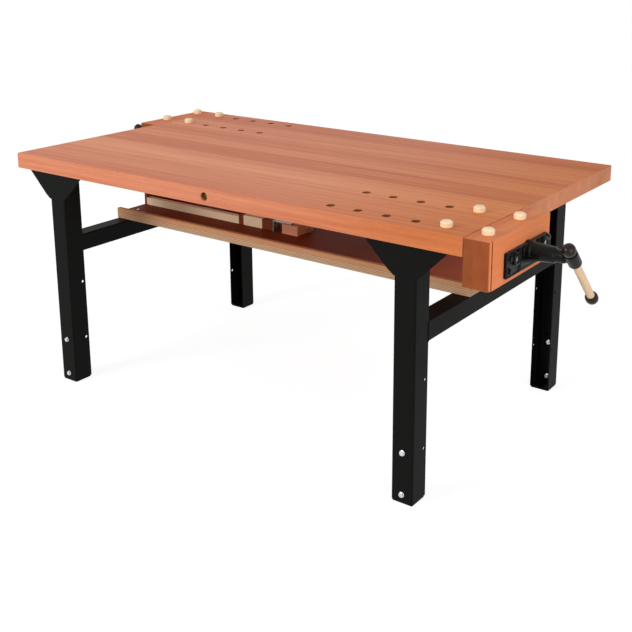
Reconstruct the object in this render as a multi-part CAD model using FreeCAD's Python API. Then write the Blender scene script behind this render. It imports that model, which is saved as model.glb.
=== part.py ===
import FreeCAD, Part
import math
import os

# Woodworking bench with two end vises.
# Millimetres, +Z up. The origin is on the floor under the middle of the top; +X runs along the
# length and +Y to the back. Each vise is drawn at the front of the right end, and the left one is
# the same unit turned half a turn about Z.

# Radial clearance of every screw, bolt and stud in its hole
FASTENER_CLEAR = 0.2

# Bench top
TOP_LENGTH = 1740.0
TOP_WIDTH = 1000.0
TOP_THICK = 52.0
WORK_HEIGHT = 806.0
TOP_ARRIS = 1.5
TOP_UNDER = WORK_HEIGHT - TOP_THICK
END = TOP_LENGTH / 2
EDGE = TOP_WIDTH / 2

# Cross bolt through the top at mid-length
TIE_R = 6.0
TIE_HOLE_R = TIE_R + FASTENER_CLEAR
TIE_SINK_R = 13.5
TIE_SINK_DEEP = 22.0
TIE_NUT_FLATS = 19.0
TIE_NUT_THICK = 10.0
TIE_PROUD = 3.0
TIE_Z = TOP_UNDER + TOP_THICK / 2

# Bench dogs and their holes
DOG_R = 12.5
DOG_CLEAR = 0.3
DOG_HOLE_R = DOG_R + DOG_CLEAR
DOG_SHORT = 7.0
DOG_SHANK = TOP_THICK - DOG_SHORT
DOG_HEAD_R = 16.5
DOG_HEAD_HIGH = 17.0
DOG_TOP_CHAMFER = 4.0
DOG_UNDER_CHAMFER = 1.5
DOG_TIP_CHAMFER = 1.5
ROW_OUTER = 58.7
ROW_INNER = 237.0
HOLE_FIRST = 79.0
HOLE_PITCH = 92.0
HOLES_PER_ROW = 5
ROWS_Y = (-EDGE + ROW_OUTER, -EDGE + ROW_INNER)

# Legs: folded steel channels, open towards the other leg of the same end
LEG = 69.0
LEG_WALL = 3.0
LEG_BEND = 5.0
LEG_FROM_END = 175.5
LEG_FROM_EDGE = 51.5
LEG_X = END - LEG_FROM_END
LEG_Y = EDGE - LEG_FROM_EDGE
PLATE_T = 3.0
LEG_TOP = TOP_UNDER - PLATE_T
LEG_OUT_Y = LEG_Y + LEG / 2
SIDE_HOLE_R = 4.75
SIDE_HOLE_OFF = 23.0
SIDE_HOLE_Y = LEG_Y - SIDE_HOLE_OFF
SIDE_HOLE_TOP = 360.0

# Height extensions in the legs, with their bolts
INSERT_GAP = 0.2
INSERT_DEEP = 40.0
INSERT_HIGH = 180.0
FOOT_T = 5.0
FOOT_INSET = 1.5
FOOT_ROUND = 4.0
BOLT_LOW = 27.0
BOLT_TOP = 154.0
BOLT_Z = (BOLT_LOW, BOLT_TOP)
SIDE_HOLE_Z = (BOLT_TOP, SIDE_HOLE_TOP)
BOLT_R = 4.0
BOLT_FLATS = 13.0
BOLT_HEAD = 5.3
BOLT_NUT = 6.5
BOLT_PROUD = 3.0

# Head plates folded over under the top
HEAD_HALF = 125.0
HEAD_LIP = 6.0
HEAD_SHOULDER = 17.5
HEAD_TAPER = 79.0
HEAD_HIGH = 92.0
HEAD_LOW_HALF = LEG / 2 + HEAD_SHOULDER
HEAD_LOW_Z = TOP_UNDER - HEAD_TAPER
HEAD_FOOT_Z = TOP_UNDER - HEAD_HIGH
HEAD_FLANGE = 66.0
HEAD_SCREW_OFF = 112.0
HEAD_SCREW_IN = 24.0
HEAD_SCREW_Y = -LEG_OUT_Y - PLATE_T + HEAD_SCREW_IN
WOOD_SCREW_R = 3.0
WOOD_SCREW_HEAD_R = 6.0
WOOD_SCREW_HEAD = 4.0
WOOD_SCREW_BITE = 34.0

# End rails: square tube
RAIL = 60.0
RAIL_WALL = 3.0
RAIL_BEND = 4.0
RAIL_Z = 466.0
RAIL_OUT_X = LEG_X + LEG / 2
RAIL_HALF = LEG_Y - LEG / 2
RAIL_END_RISE = 5.0

# Shelf
SHELF_OVER = 2.0
SHELF_X = RAIL_OUT_X + SHELF_OVER
SHELF_Y = 187.0
SHELF_T = 22.0
SHELF_Z = RAIL_Z + RAIL
SHELF_FACE = SHELF_Z + SHELF_T
LIP_HIGH = 15.0
LIP_WIDE = 15.0
SHELF_SCREW_Y = 120.0
SHELF_SCREW_R = 2.5
SHELF_SCREW_HEAD_R = 5.0
SHELF_SCREW_LONG = 34.0

# Low rail that stands on the left half of the shelf
STRIP_FRONT = -50.0
STRIP_T = 20.0
STRIP_HIGH = 27.0
STRIP_END = -262.0
END_BOARD_T = 12.0
END_BOARD_HIGH = 72.0
BLOCK_HIGH = 35.0
BLOCK_DEEP = 34.0
BLOCK_A_END = -240.0
PALE_END = -156.0
BLOCK_B_END = -104.0
ANGLE_T = 5.0
ANGLE_END = -26.0
STOP_START = -63.0
STOP_END = 4.0
STOP_HIGH = 34.0
STOP_FRONT = -56.0
STOP_BACK = 30.0
STOP_BOLT_Y = (-8.0, 16.0)
STOP_BOLT_UP = 12.0
STOP_BOLT_OUT = 9.0

# Vise jaw
JAW_GAP = 2.7
JAW_T = 76.0
JAW_WIDE = 345.0
JAW_HIGH = 130.0
JAW_ROUND = 16.0
JAW_ARRIS = 1.5
QUIRK_AT = 9.0
QUIRK_WIDE = 3.0
QUIRK_DEEP = 4.0
JAW_IN = END + JAW_GAP
JAW_OUT = JAW_IN + JAW_T
JAW_BOTTOM = WORK_HEIGHT - JAW_HIGH
JAW_DOG_X = JAW_IN + JAW_T / 2
JAW_DOG_HOLE = TOP_THICK

# Vise axis and guide rods
AXIS_IN = 205.0
AXIS_DROP = 18.0
AXIS_Y = -EDGE + AXIS_IN
AXIS_Z = TOP_UNDER - AXIS_DROP
ROD_R = 10.0
ROD_OFF = 85.0
ROD_CLEAR = 0.08
ROD_STUD_R = 8.0
RODS_Y = (AXIS_Y - ROD_OFF, AXIS_Y + ROD_OFF)

# Cast front plate of the vise
FACE_T = 6.0
FACE_HALF_LONG = 132.0
FACE_HALF_HIGH = 34.5
FACE_DROP = 10.5
FACE_MID_Z = AXIS_Z - FACE_DROP
FACE_CUT_Y = 26.0
FACE_CUT_Z = 13.0
FACE_ROUND = 4.0
FACE_RIM = 4.0
FACE_RIM_RISE = 3.0
RIB_T = 6.0
RIB_RISE = 5.0
RIB_OFF = 51.0
BOSS_R = 18.0
BOSS_RISE = 12.0
BOSS_RECESS = 4.0
BOSS_ROUND = 2.5
PAD_R = 9.5
HUB_R = 28.0
HUB_LONG = 20.0
HUB_ROUND = 1.5
BARREL_START_R = 25.5
BARREL_END_R = 22.0
BARREL_END = 80.0
SHOULDER_LONG = 5.0
NOSE_R = 17.5
NOSE_LONG = 109.0
NOSE_ROUND = 1.5
NOSE_X = JAW_OUT + NOSE_LONG
WEB_T = 7.0
WEB_REACH = 70.0
WEB_DROP = 12.0
WEB_Z = AXIS_Z - WEB_DROP
FACE_BOLT_OFF = 114.0
FACE_BOLT_UP = 17.0
FACE_BOLT_BITE = 45.0
FACE_BOLT_SEAT = JAW_OUT + FACE_T + FACE_RIM_RISE

# Vise screw
SCREW_R = 12.0
SCREW_CLEAR = 0.08
JAW_SCREW_R = 17.0
COLLAR_R = 16.0
COLLAR_LONG = 10.0
COLLAR_GAP = 0.3
PILOT_R = 7.0
PILOT_LONG = 25.0
NECK_R = 15.0
CROSS_R = 18.0
CROSS_HALF = 25.0
CROSS_ROUND = 2.5
CROSS_CLEAR = 1.3
BAR_HOLE_AT = CROSS_R + CROSS_CLEAR

# Vise body under the top
TRAVEL = 150.0
BODY_BACK = 4.0
BODY_LONG = 126.0
BODY_END = END - BODY_BACK
BODY_START = BODY_END - BODY_LONG
BODY_FLANGE = 8.0
BODY_BOSS_R = 17.0
BODY_CORE_R = 21.0
BODY_RIB_T = 10.0
BODY_ROUND = 10.0
BODY_SCREW_IN = 20.0
BODY_SCREW_SIDE = 27.0
BODY_SCREW_R = 4.0
BODY_SCREW_BITE = 40.0
BODY_EDGE = 9.0
BODY_SCREW_OFF = ROD_OFF + BODY_SCREW_SIDE
BODY_HALF = BODY_SCREW_OFF + BODY_EDGE
NUT_IN = 5.0
NUT_LONG = 40.0
NUT_R = 16.0
NUT_START = BODY_START + NUT_IN

# Rear yoke, clear of the vise body when the jaw is fully open
YOKE_T = 15.0
YOKE_CLEAR = 15.0
YOKE_X = BODY_START - TRAVEL - YOKE_CLEAR - YOKE_T
PILOT_START = YOKE_X + YOKE_T + PILOT_LONG
YOKE_BOSS_R = 17.0
YOKE_HIGH = 22.0
YOKE_NUT_FLATS = 24.0
YOKE_NUT = 13.0
STUD_PROUD = 2.0

# Sliding handle bar with its end knobs
BAR_R = 11.0
BAR_CLEAR = 0.3
KNOB_REST = 0.4
KNOB_DOWN = 211.0
KNOB_R = 18.0
KNOB_LONG = 33.0
KNOB_MOUTH_R = 14.5
KNOB_WIDEST_AT = 13.0
KNOB_SHOULDER_R = 16.5
KNOB_SHOULDER_AT = 24.0
KNOB_SOCKET = 20.0
KNOB_CLEAR = 0.1
KNOB_UP = CROSS_HALF + KNOB_REST + KNOB_LONG / 2
RIGHT_TILT = 44.5
LEFT_TILT = -65.0

# Tolerances for picking edges by their place and by their width
SAME_PLACE = 0.01
SAME_WIDTH = 0.5

X_AXIS = FreeCAD.Vector(1, 0, 0)
Y_AXIS = FreeCAD.Vector(0, 1, 0)
Z_AXIS = FreeCAD.Vector(0, 0, 1)
ORIGIN = FreeCAD.Vector(0, 0, 0)


def vec(x, y, z):
    return FreeCAD.Vector(x, y, z)


def box(x0, x1, y0, y1, z0, z1):
    return Part.makeBox(x1 - x0, y1 - y0, z1 - z0, vec(x0, y0, z0))


def rod(radius, length, at, axis):
    return Part.makeCylinder(radius, length, at, axis)


def hexagon(flats, length, at, axis):
    """Six-sided prism that starts at a point and runs along an axis."""
    radius = flats / math.sqrt(3)
    points = []
    for step in range(7):
        angle = math.radians(60 * step)
        points.append(vec(radius * math.cos(angle), radius * math.sin(angle), 0))
    prism = Part.Face(Part.makePolygon(points)).extrude(vec(0, 0, length))
    prism.Placement = FreeCAD.Placement(at, FreeCAD.Rotation(Z_AXIS, axis))
    return prism


def turned(profile, at, axis):
    """Solid of revolution about an axis, from (distance along, radius) pairs."""
    points = [vec(profile[0][0], 0, 0)]
    for along, radius in profile:
        points.append(vec(along, radius, 0))
    points.append(vec(profile[-1][0], 0, 0))
    points.append(points[0])
    solid = Part.Face(Part.makePolygon(points)).revolve(ORIGIN, X_AXIS, 360)
    solid.Placement = FreeCAD.Placement(at, FreeCAD.Rotation(X_AXIS, axis))
    return solid


def cut_all(shape, tools):
    return shape.cut(Part.makeCompound(tools))


def fuse_all(shapes):
    solid = shapes[0].multiFuse(shapes[1:])
    return solid.removeSplitter()


def vertical_edges(shape, spots):
    """Edges along Z that stand at any of the given (x, y) spots."""
    found = []
    for edge in shape.Edges:
        start = edge.Vertexes[0].Point
        finish = edge.Vertexes[-1].Point
        if abs(start.z - finish.z) < 1:
            continue
        for x, y in spots:
            offsets = (start.x - x, start.y - y, finish.x - x)
            if max(abs(offset) for offset in offsets) < SAME_PLACE:
                found.append(edge)
    return found


def half_turn(shape):
    copy = shape.copy()
    copy.rotate(ORIGIN, Z_AXIS, 180)
    return copy


def both_ways(shape):
    return [shape, half_turn(shape)]


def save(name, solids):
    """Write one node; a list of solids becomes a group."""
    shape = Part.makeCompound(solids) if isinstance(solids, list) else solids
    shape.exportStep("parts/" + name + ".step")


def hole_xs():
    return [END - HOLE_FIRST - HOLE_PITCH * step for step in range(HOLES_PER_ROW)]


# ---- top ----

def bench_top():
    slab = box(-END, END, -EDGE, EDGE, TOP_UNDER, WORK_HEIGHT)
    slab = slab.makeChamfer(TOP_ARRIS, slab.Edges)
    tools = [rod(TIE_HOLE_R, TOP_WIDTH, vec(0, -EDGE, TIE_Z), Y_AXIS)]
    for side in (-1, 1):
        tools.append(rod(TIE_SINK_R, TIE_SINK_DEEP, vec(0, side * EDGE, TIE_Z), Y_AXIS * -side))
    for x in hole_xs():
        for y in ROWS_Y:
            tools.extend(both_ways(rod(DOG_HOLE_R, TOP_THICK, vec(x, y, TOP_UNDER), Z_AXIS)))
    for x in (LEG_X - HEAD_SCREW_OFF, LEG_X + HEAD_SCREW_OFF):
        pilot = rod(
            WOOD_SCREW_R + FASTENER_CLEAR, WOOD_SCREW_BITE, vec(x, HEAD_SCREW_Y, TOP_UNDER), Z_AXIS)
        tools.extend(corners(pilot))
    for x, y in body_screw_spots():
        pilot = rod(BODY_SCREW_R + FASTENER_CLEAR, BODY_SCREW_BITE, vec(x, y, TOP_UNDER), Z_AXIS)
        tools.extend(both_ways(pilot))
    return cut_all(slab, tools)


def tie_rod():
    reach = EDGE - TIE_SINK_DEEP + TIE_NUT_THICK + TIE_PROUD
    return rod(TIE_R, 2 * reach, vec(0, -reach, TIE_Z), Y_AXIS)


def tie_rod_nuts():
    nuts = []
    for side in (-1, 1):
        seat = vec(0, side * (EDGE - TIE_SINK_DEEP), TIE_Z)
        nut = hexagon(TIE_NUT_FLATS, TIE_NUT_THICK, seat, Y_AXIS * side)
        nuts.append(nut.cut(rod(TIE_HOLE_R, TIE_NUT_THICK, seat, Y_AXIS * side)))
    return nuts


def dog(x, y):
    """Round wooden dog: shank in its hole, chamfered head on the face."""
    base = vec(x, y, WORK_HEIGHT - DOG_SHANK)
    top = DOG_SHANK + DOG_HEAD_HIGH
    profile = (
        (0.0, DOG_R - DOG_TIP_CHAMFER),
        (DOG_TIP_CHAMFER, DOG_R),
        (DOG_SHANK, DOG_R),
        (DOG_SHANK, DOG_HEAD_R - DOG_UNDER_CHAMFER),
        (DOG_SHANK + DOG_UNDER_CHAMFER, DOG_HEAD_R),
        (top - DOG_TOP_CHAMFER, DOG_HEAD_R),
        (top, DOG_HEAD_R - DOG_TOP_CHAMFER),
    )
    return turned(profile, base, Z_AXIS)


# ---- frame ----

def leg():
    """Front right leg: web on the outside, open to the back."""
    x0, x1 = LEG_X - LEG / 2, LEG_X + LEG / 2
    y0, y1 = -LEG_OUT_Y, -LEG_OUT_Y + LEG
    outer = box(x0, x1, y0, y1, FOOT_T, LEG_TOP)
    outer = outer.makeFillet(LEG_BEND, vertical_edges(outer, ((x0, y0), (x1, y0))))
    hollow = box(x0 + LEG_WALL, x1 - LEG_WALL, y0 + LEG_WALL, y1, FOOT_T, LEG_TOP)
    spots = ((x0 + LEG_WALL, y0 + LEG_WALL), (x1 - LEG_WALL, y0 + LEG_WALL))
    hollow = hollow.makeFillet(LEG_BEND - LEG_WALL, vertical_edges(hollow, spots))
    tools = [hollow]
    for z in SIDE_HOLE_Z:
        tools.append(rod(SIDE_HOLE_R, LEG, vec(x0, -SIDE_HOLE_Y, z), X_AXIS))
    for z in BOLT_Z:
        tools.append(rod(BOLT_R + FASTENER_CLEAR, LEG_WALL, vec(LEG_X, y0, z), Y_AXIS))
    return cut_all(outer, tools)


def head_plate():
    """Front right head plate: a tapered plate on the leg, folded over under the top."""
    face_y = -LEG_OUT_Y - PLATE_T
    outline = [
        vec(LEG_X - HEAD_HALF, face_y, TOP_UNDER),
        vec(LEG_X - HEAD_HALF, face_y, TOP_UNDER - HEAD_LIP),
        vec(LEG_X - HEAD_LOW_HALF, face_y, HEAD_LOW_Z),
        vec(LEG_X - LEG / 2, face_y, HEAD_FOOT_Z),
        vec(LEG_X + LEG / 2, face_y, HEAD_FOOT_Z),
        vec(LEG_X + HEAD_LOW_HALF, face_y, HEAD_LOW_Z),
        vec(LEG_X + HEAD_HALF, face_y, TOP_UNDER - HEAD_LIP),
        vec(LEG_X + HEAD_HALF, face_y, TOP_UNDER),
    ]
    outline.append(outline[0])
    plate = Part.Face(Part.makePolygon(outline)).extrude(vec(0, PLATE_T, 0))
    flange = box(
        LEG_X - HEAD_HALF, LEG_X + HEAD_HALF, face_y, face_y + HEAD_FLANGE, LEG_TOP, TOP_UNDER)
    tools = []
    for side in (-1, 1):
        at = vec(LEG_X + side * HEAD_SCREW_OFF, HEAD_SCREW_Y, LEG_TOP)
        tools.append(rod(WOOD_SCREW_R + FASTENER_CLEAR, PLATE_T, at, Z_AXIS))
    return cut_all(fuse_all([plate, flange]), tools)


def head_plate_screws():
    screws = []
    for side in (-1, 1):
        screws.extend(corners(wood_screw(LEG_X + side * HEAD_SCREW_OFF, HEAD_SCREW_Y)))
    return screws


def wood_screw(x, y):
    head = rod(WOOD_SCREW_HEAD_R, WOOD_SCREW_HEAD, vec(x, y, LEG_TOP - WOOD_SCREW_HEAD), Z_AXIS)
    shank = rod(WOOD_SCREW_R, PLATE_T + WOOD_SCREW_BITE, vec(x, y, LEG_TOP), Z_AXIS)
    return fuse_all([head, shank])


def foot_insert():
    """Channel inside the front right leg that sets its height, on a welded foot plate."""
    half = LEG / 2 - LEG_WALL - INSERT_GAP
    y0 = -LEG_OUT_Y + LEG_WALL
    outer = box(LEG_X - half, LEG_X + half, y0, y0 + INSERT_DEEP, FOOT_T, INSERT_HIGH)
    spots = ((LEG_X - half, y0), (LEG_X + half, y0))
    outer = outer.makeFillet(LEG_BEND - LEG_WALL, vertical_edges(outer, spots))
    inner = half - LEG_WALL
    hollow = box(
        LEG_X - inner, LEG_X + inner, y0 + LEG_WALL, y0 + INSERT_DEEP, FOOT_T, INSERT_HIGH)
    tools = [hollow]
    for z in BOLT_Z:
        tools.append(rod(BOLT_R + FASTENER_CLEAR, LEG_WALL, vec(LEG_X, y0, z), Y_AXIS))
    return fuse_all([foot_plate(), cut_all(outer, tools)])


def foot_plate():
    """Plate under the front right leg, a little smaller than the leg, with round corners."""
    reach = LEG / 2 - FOOT_INSET
    x0, x1 = LEG_X - reach, LEG_X + reach
    y0, y1 = -LEG_Y - reach, -LEG_Y + reach
    plate = box(x0, x1, y0, y1, 0, FOOT_T)
    return plate.makeFillet(
        FOOT_ROUND, vertical_edges(plate, ((x0, y0), (x1, y0), (x0, y1), (x1, y1))))


def leg_bolt_sets():
    """Bolt and nut at each height of the front right leg."""
    solids = []
    face = -LEG_OUT_Y
    grip = 2 * LEG_WALL
    for z in BOLT_Z:
        head = hexagon(BOLT_FLATS, BOLT_HEAD, vec(LEG_X, face, z), -Y_AXIS)
        shank = rod(BOLT_R, grip + BOLT_NUT + BOLT_PROUD, vec(LEG_X, face, z), Y_AXIS)
        solids.append(fuse_all([head, shank]))
        seat = vec(LEG_X, face + grip, z)
        nut = hexagon(BOLT_FLATS, BOLT_NUT, seat, Y_AXIS)
        solids.append(nut.cut(rod(BOLT_R + FASTENER_CLEAR, BOLT_NUT, seat, Y_AXIS)))
    return solids


def mirrored_x(shape):
    return shape.mirror(ORIGIN, X_AXIS)


def corners(shape):
    """The four copies of a front right corner piece."""
    other = mirrored_x(shape)
    return [shape, other, half_turn(other), half_turn(shape)]


def rail():
    """Right end rail: square tube between the legs, flush with their outer faces."""
    x0, x1 = RAIL_OUT_X - RAIL, RAIL_OUT_X
    z0, z1 = RAIL_Z, RAIL_Z + RAIL
    outer = box(x0, x1, -RAIL_HALF, RAIL_HALF, z0, z1)
    outer = outer.makeFillet(RAIL_BEND, long_edges(outer, x0, x1))
    hollow = box(
        x0 + RAIL_WALL, x1 - RAIL_WALL, -RAIL_HALF, RAIL_HALF, z0 + RAIL_WALL, z1 - RAIL_WALL)
    tools = [hollow]
    for y in (-SHELF_SCREW_Y, SHELF_SCREW_Y):
        tools.append(rod(
            SHELF_SCREW_R + FASTENER_CLEAR, RAIL_WALL, vec(LEG_X, y, z1 - RAIL_WALL), Z_AXIS))
    return cut_all(outer, tools)


def long_edges(shape, x0, x1):
    """Edges along Y at either of two x positions."""
    found = []
    for edge in shape.Edges:
        start = edge.Vertexes[0].Point
        finish = edge.Vertexes[-1].Point
        if abs(start.y - finish.y) > 1 and min(abs(start.x - x0), abs(start.x - x1)) < SAME_PLACE:
            found.append(edge)
    return found


def rail_end_plate():
    """Plate that closes the channel of the front right leg where the rail meets it."""
    half = LEG / 2 - LEG_WALL
    return box(
        LEG_X - half, LEG_X + half, -RAIL_HALF - PLATE_T, -RAIL_HALF,
        RAIL_Z - RAIL_END_RISE, RAIL_Z + RAIL + RAIL_END_RISE)


# ---- shelf ----

def shelf_panel():
    panel = box(-SHELF_X, SHELF_X, -SHELF_Y, SHELF_Y, SHELF_Z, SHELF_FACE)
    tools = []
    for x, y in shelf_screw_spots():
        tools.append(shelf_screw(x, y, FASTENER_CLEAR))
    return cut_all(panel, tools)


def shelf_screw_spots():
    return [(x, y) for x in (-LEG_X, LEG_X) for y in (-SHELF_SCREW_Y, SHELF_SCREW_Y)]


def shelf_screw(x, y, clear=0.0):
    """Countersunk screw, or the hole for it where a clearance is given."""
    neck = SHELF_SCREW_LONG - SHELF_SCREW_HEAD_R + SHELF_SCREW_R
    profile = (
        (0.0, SHELF_SCREW_R + clear),
        (neck, SHELF_SCREW_R + clear),
        (SHELF_SCREW_LONG, SHELF_SCREW_HEAD_R + clear),
    )
    return turned(profile, vec(x, y, SHELF_FACE - SHELF_SCREW_LONG), Z_AXIS)


def shelf_lip():
    return box(-SHELF_X, SHELF_X, -SHELF_Y, -SHELF_Y + LIP_WIDE, SHELF_FACE, SHELF_FACE + LIP_HIGH)


def shelf_end_board():
    return box(
        -SHELF_X, -SHELF_X + END_BOARD_T, STRIP_FRONT, SHELF_Y - LIP_WIDE,
        SHELF_FACE, SHELF_FACE + END_BOARD_HIGH)


def on_shelf(x0, x1, y0, y1, high):
    return box(x0, x1, y0, y1, SHELF_FACE, SHELF_FACE + high)


def shelf_strip():
    return on_shelf(
        -SHELF_X + END_BOARD_T, STRIP_END, STRIP_FRONT, STRIP_FRONT + STRIP_T, STRIP_HIGH)


def shelf_block(x0, x1):
    return on_shelf(x0, x1, STRIP_FRONT, STRIP_FRONT + BLOCK_DEEP, BLOCK_HIGH)


def shelf_angle():
    """Bent steel angle: upright against the block, flange over the stop block."""
    top = SHELF_FACE + STOP_HIGH
    upright = box(
        BLOCK_B_END, BLOCK_B_END + ANGLE_T, STOP_FRONT, STOP_BACK, SHELF_FACE, top + ANGLE_T)
    flange = box(BLOCK_B_END, ANGLE_END, STOP_FRONT, STOP_BACK, top, top + ANGLE_T)
    return fuse_all([upright, flange])


def shelf_stop_block():
    block = on_shelf(STOP_START, STOP_END, STOP_FRONT, STOP_BACK, STOP_HIGH)
    tools = []
    for y in STOP_BOLT_Y:
        at = vec(STOP_START, y, SHELF_FACE + STOP_BOLT_UP)
        tools.append(rod(BOLT_R + FASTENER_CLEAR, STOP_END - STOP_START, at, X_AXIS))
    return cut_all(block, tools)


def shelf_stop_bolts():
    bolts = []
    for y in STOP_BOLT_Y:
        at = vec(STOP_START, y, SHELF_FACE + STOP_BOLT_UP)
        head = hexagon(BOLT_FLATS, BOLT_HEAD, at, -X_AXIS)
        shank = rod(BOLT_R, STOP_END - STOP_START + STOP_BOLT_OUT, at, X_AXIS)
        bolts.append(fuse_all([head, shank]))
    return bolts


# ---- vise, drawn at the front of the right end ----

def vise_jaw():
    y0, y1 = -EDGE, -EDGE + JAW_WIDE
    jaw = box(JAW_IN, JAW_OUT, y0, y1, JAW_BOTTOM, WORK_HEIGHT)
    jaw = jaw.makeFillet(JAW_ROUND, vertical_edges(jaw, ((JAW_OUT, y0),)))
    rim = []
    for edge in jaw.Edges:
        ends = [vertex.Point.z for vertex in edge.Vertexes]
        if max(ends) - min(ends) < SAME_PLACE:
            rim.append(edge)
    jaw = jaw.makeChamfer(JAW_ARRIS, rim)
    quirk = box(
        JAW_OUT - QUIRK_DEEP, JAW_OUT + 1, y0 + QUIRK_AT, y0 + QUIRK_AT + QUIRK_WIDE,
        JAW_BOTTOM, WORK_HEIGHT)
    tools = [quirk, rod(JAW_SCREW_R, JAW_T, vec(JAW_IN, AXIS_Y, AXIS_Z), X_AXIS)]
    for y in RODS_Y:
        tools.append(rod(ROD_R + ROD_CLEAR, JAW_T, vec(JAW_IN, y, AXIS_Z), X_AXIS))
    for y in ROWS_Y:
        at = vec(JAW_DOG_X, y, WORK_HEIGHT - JAW_DOG_HOLE)
        tools.append(rod(DOG_HOLE_R, JAW_DOG_HOLE, at, Z_AXIS))
    for y, z in plate_bolt_spots():
        at = vec(JAW_OUT - FACE_BOLT_BITE, y, z)
        tools.append(rod(BOLT_R + FASTENER_CLEAR, FACE_BOLT_BITE, at, X_AXIS))
    return cut_all(jaw, tools)


def plate_bolt_spots():
    spots = []
    for side in (-1, 1):
        for up in (-1, 1):
            spots.append((AXIS_Y + side * FACE_BOLT_OFF, FACE_MID_Z + up * FACE_BOLT_UP))
    return spots


def vise_plate():
    """Cast plate on the jaw: rim, bolt pads, rod bosses and ribs, and a stepped barrel."""
    pieces = [plate_face(), screw_barrel()]
    pieces.extend(barrel_wings())
    pieces.extend(face_ribs())
    for y in RODS_Y:
        pieces.append(rod_boss(y))
    for y, z in plate_bolt_spots():
        pieces.append(rod(PAD_R, FACE_T + FACE_RIM_RISE, vec(JAW_OUT, y, z), X_AXIS))
    tools = [rod(
        SCREW_R + SCREW_CLEAR, NOSE_LONG, vec(JAW_OUT, AXIS_Y, AXIS_Z), X_AXIS)]
    for y in RODS_Y:
        tools.append(rod(ROD_R + ROD_CLEAR, FACE_T + BOSS_RISE, vec(JAW_OUT, y, AXIS_Z), X_AXIS))
    for y, z in plate_bolt_spots():
        tools.append(rod(
            BOLT_R + FASTENER_CLEAR, FACE_T + FACE_RIM_RISE, vec(JAW_OUT, y, z), X_AXIS))
    return cut_all(fuse_all(pieces), tools)


def plate_outline():
    """Corners of the plate: square towards the front, cut off towards the middle of the jaw."""
    y0, y1 = AXIS_Y - FACE_HALF_LONG, AXIS_Y + FACE_HALF_LONG
    z0, z1 = FACE_MID_Z - FACE_HALF_HIGH, FACE_MID_Z + FACE_HALF_HIGH
    return (
        (y0, z0),
        (y1 - FACE_CUT_Y, z0),
        (y1, z0 + FACE_CUT_Z),
        (y1, z1 - FACE_CUT_Z),
        (y1 - FACE_CUT_Y, z1),
        (y0, z1),
    )


def plate_face():
    """Flat of the plate with a raised rim round its edge."""
    spots = plate_outline()
    wire = Part.makePolygon([vec(JAW_OUT, y, z) for y, z in spots + spots[:1]])
    slab = Part.Face(wire).extrude(vec(FACE_T + FACE_RIM_RISE, 0, 0))
    corners_x = [edge for edge in slab.Edges if edge.BoundBox.XLength > FACE_T]
    slab = slab.makeFillet(FACE_ROUND, corners_x)
    inner = wire.makeOffset2D(-FACE_RIM)
    pocket = Part.Face(inner).extrude(vec(FACE_RIM_RISE, 0, 0))
    pocket.translate(vec(FACE_T, 0, 0))
    return slab.cut(pocket)


def screw_barrel():
    """Collar, tapered barrel and nose that carry the screw, rounded as a casting is."""
    profile = (
        (0.0, HUB_R),
        (HUB_LONG, HUB_R),
        (HUB_LONG, BARREL_START_R),
        (BARREL_END, BARREL_END_R),
        (BARREL_END + SHOULDER_LONG, NOSE_R),
        (NOSE_LONG, NOSE_R),
    )
    barrel = turned(profile, vec(JAW_OUT, AXIS_Y, AXIS_Z), X_AXIS)
    barrel = barrel.makeFillet(HUB_ROUND, wide_edges(barrel, JAW_OUT + HUB_LONG, HUB_R))
    return barrel.makeFillet(NOSE_ROUND, wide_edges(barrel, NOSE_X, NOSE_R))


def wide_edges(shape, x, radius):
    """Round edges of one radius that lie in the plane across the screw at one x."""
    return [edge for edge in rim_edges(shape, x)
            if abs(edge.BoundBox.YLength - 2 * radius) < SAME_WIDTH]


def barrel_wings():
    """Flat triangular webs that carry the barrel from the rod bosses."""
    half = ROD_OFF - BOSS_R / 2
    wings = []
    for side in (-1, 1):
        outline = [
            vec(JAW_OUT, AXIS_Y, WEB_Z - WEB_T / 2),
            vec(JAW_OUT, AXIS_Y + side * half, WEB_Z - WEB_T / 2),
            vec(JAW_OUT + FACE_T + RIB_RISE, AXIS_Y + side * half, WEB_Z - WEB_T / 2),
            vec(JAW_OUT + WEB_REACH, AXIS_Y, WEB_Z - WEB_T / 2),
        ]
        outline.append(outline[0])
        wings.append(Part.Face(Part.makePolygon(outline)).extrude(vec(0, 0, WEB_T)))
    return wings


def face_ribs():
    """Upright ribs half-way between the barrel and each rod boss."""
    low = FACE_MID_Z - FACE_HALF_HIGH + RIB_T / 2
    high = FACE_MID_Z + FACE_HALF_HIGH - RIB_T / 2
    ribs = []
    for y in (AXIS_Y - RIB_OFF, AXIS_Y + RIB_OFF):
        ribs.append(box(
            JAW_OUT, JAW_OUT + FACE_T + RIB_RISE, y - RIB_T / 2, y + RIB_T / 2, low, high))
    return ribs


def rod_boss(y):
    """Round boss for the end of one guide rod, rounded at its rim."""
    boss = rod(BOSS_R, FACE_T + BOSS_RISE, vec(JAW_OUT, y, AXIS_Z), X_AXIS)
    return boss.makeFillet(BOSS_ROUND, rim_edges(boss, JAW_OUT + FACE_T + BOSS_RISE))


def vise_plate_bolts():
    bolts = []
    for y, z in plate_bolt_spots():
        seat = vec(FACE_BOLT_SEAT, y, z)
        head = hexagon(BOLT_FLATS, BOLT_HEAD, seat, X_AXIS)
        shank = rod(BOLT_R, FACE_BOLT_SEAT - JAW_OUT + FACE_BOLT_BITE, seat, -X_AXIS)
        bolts.append(fuse_all([head, shank]))
    return bolts


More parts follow.
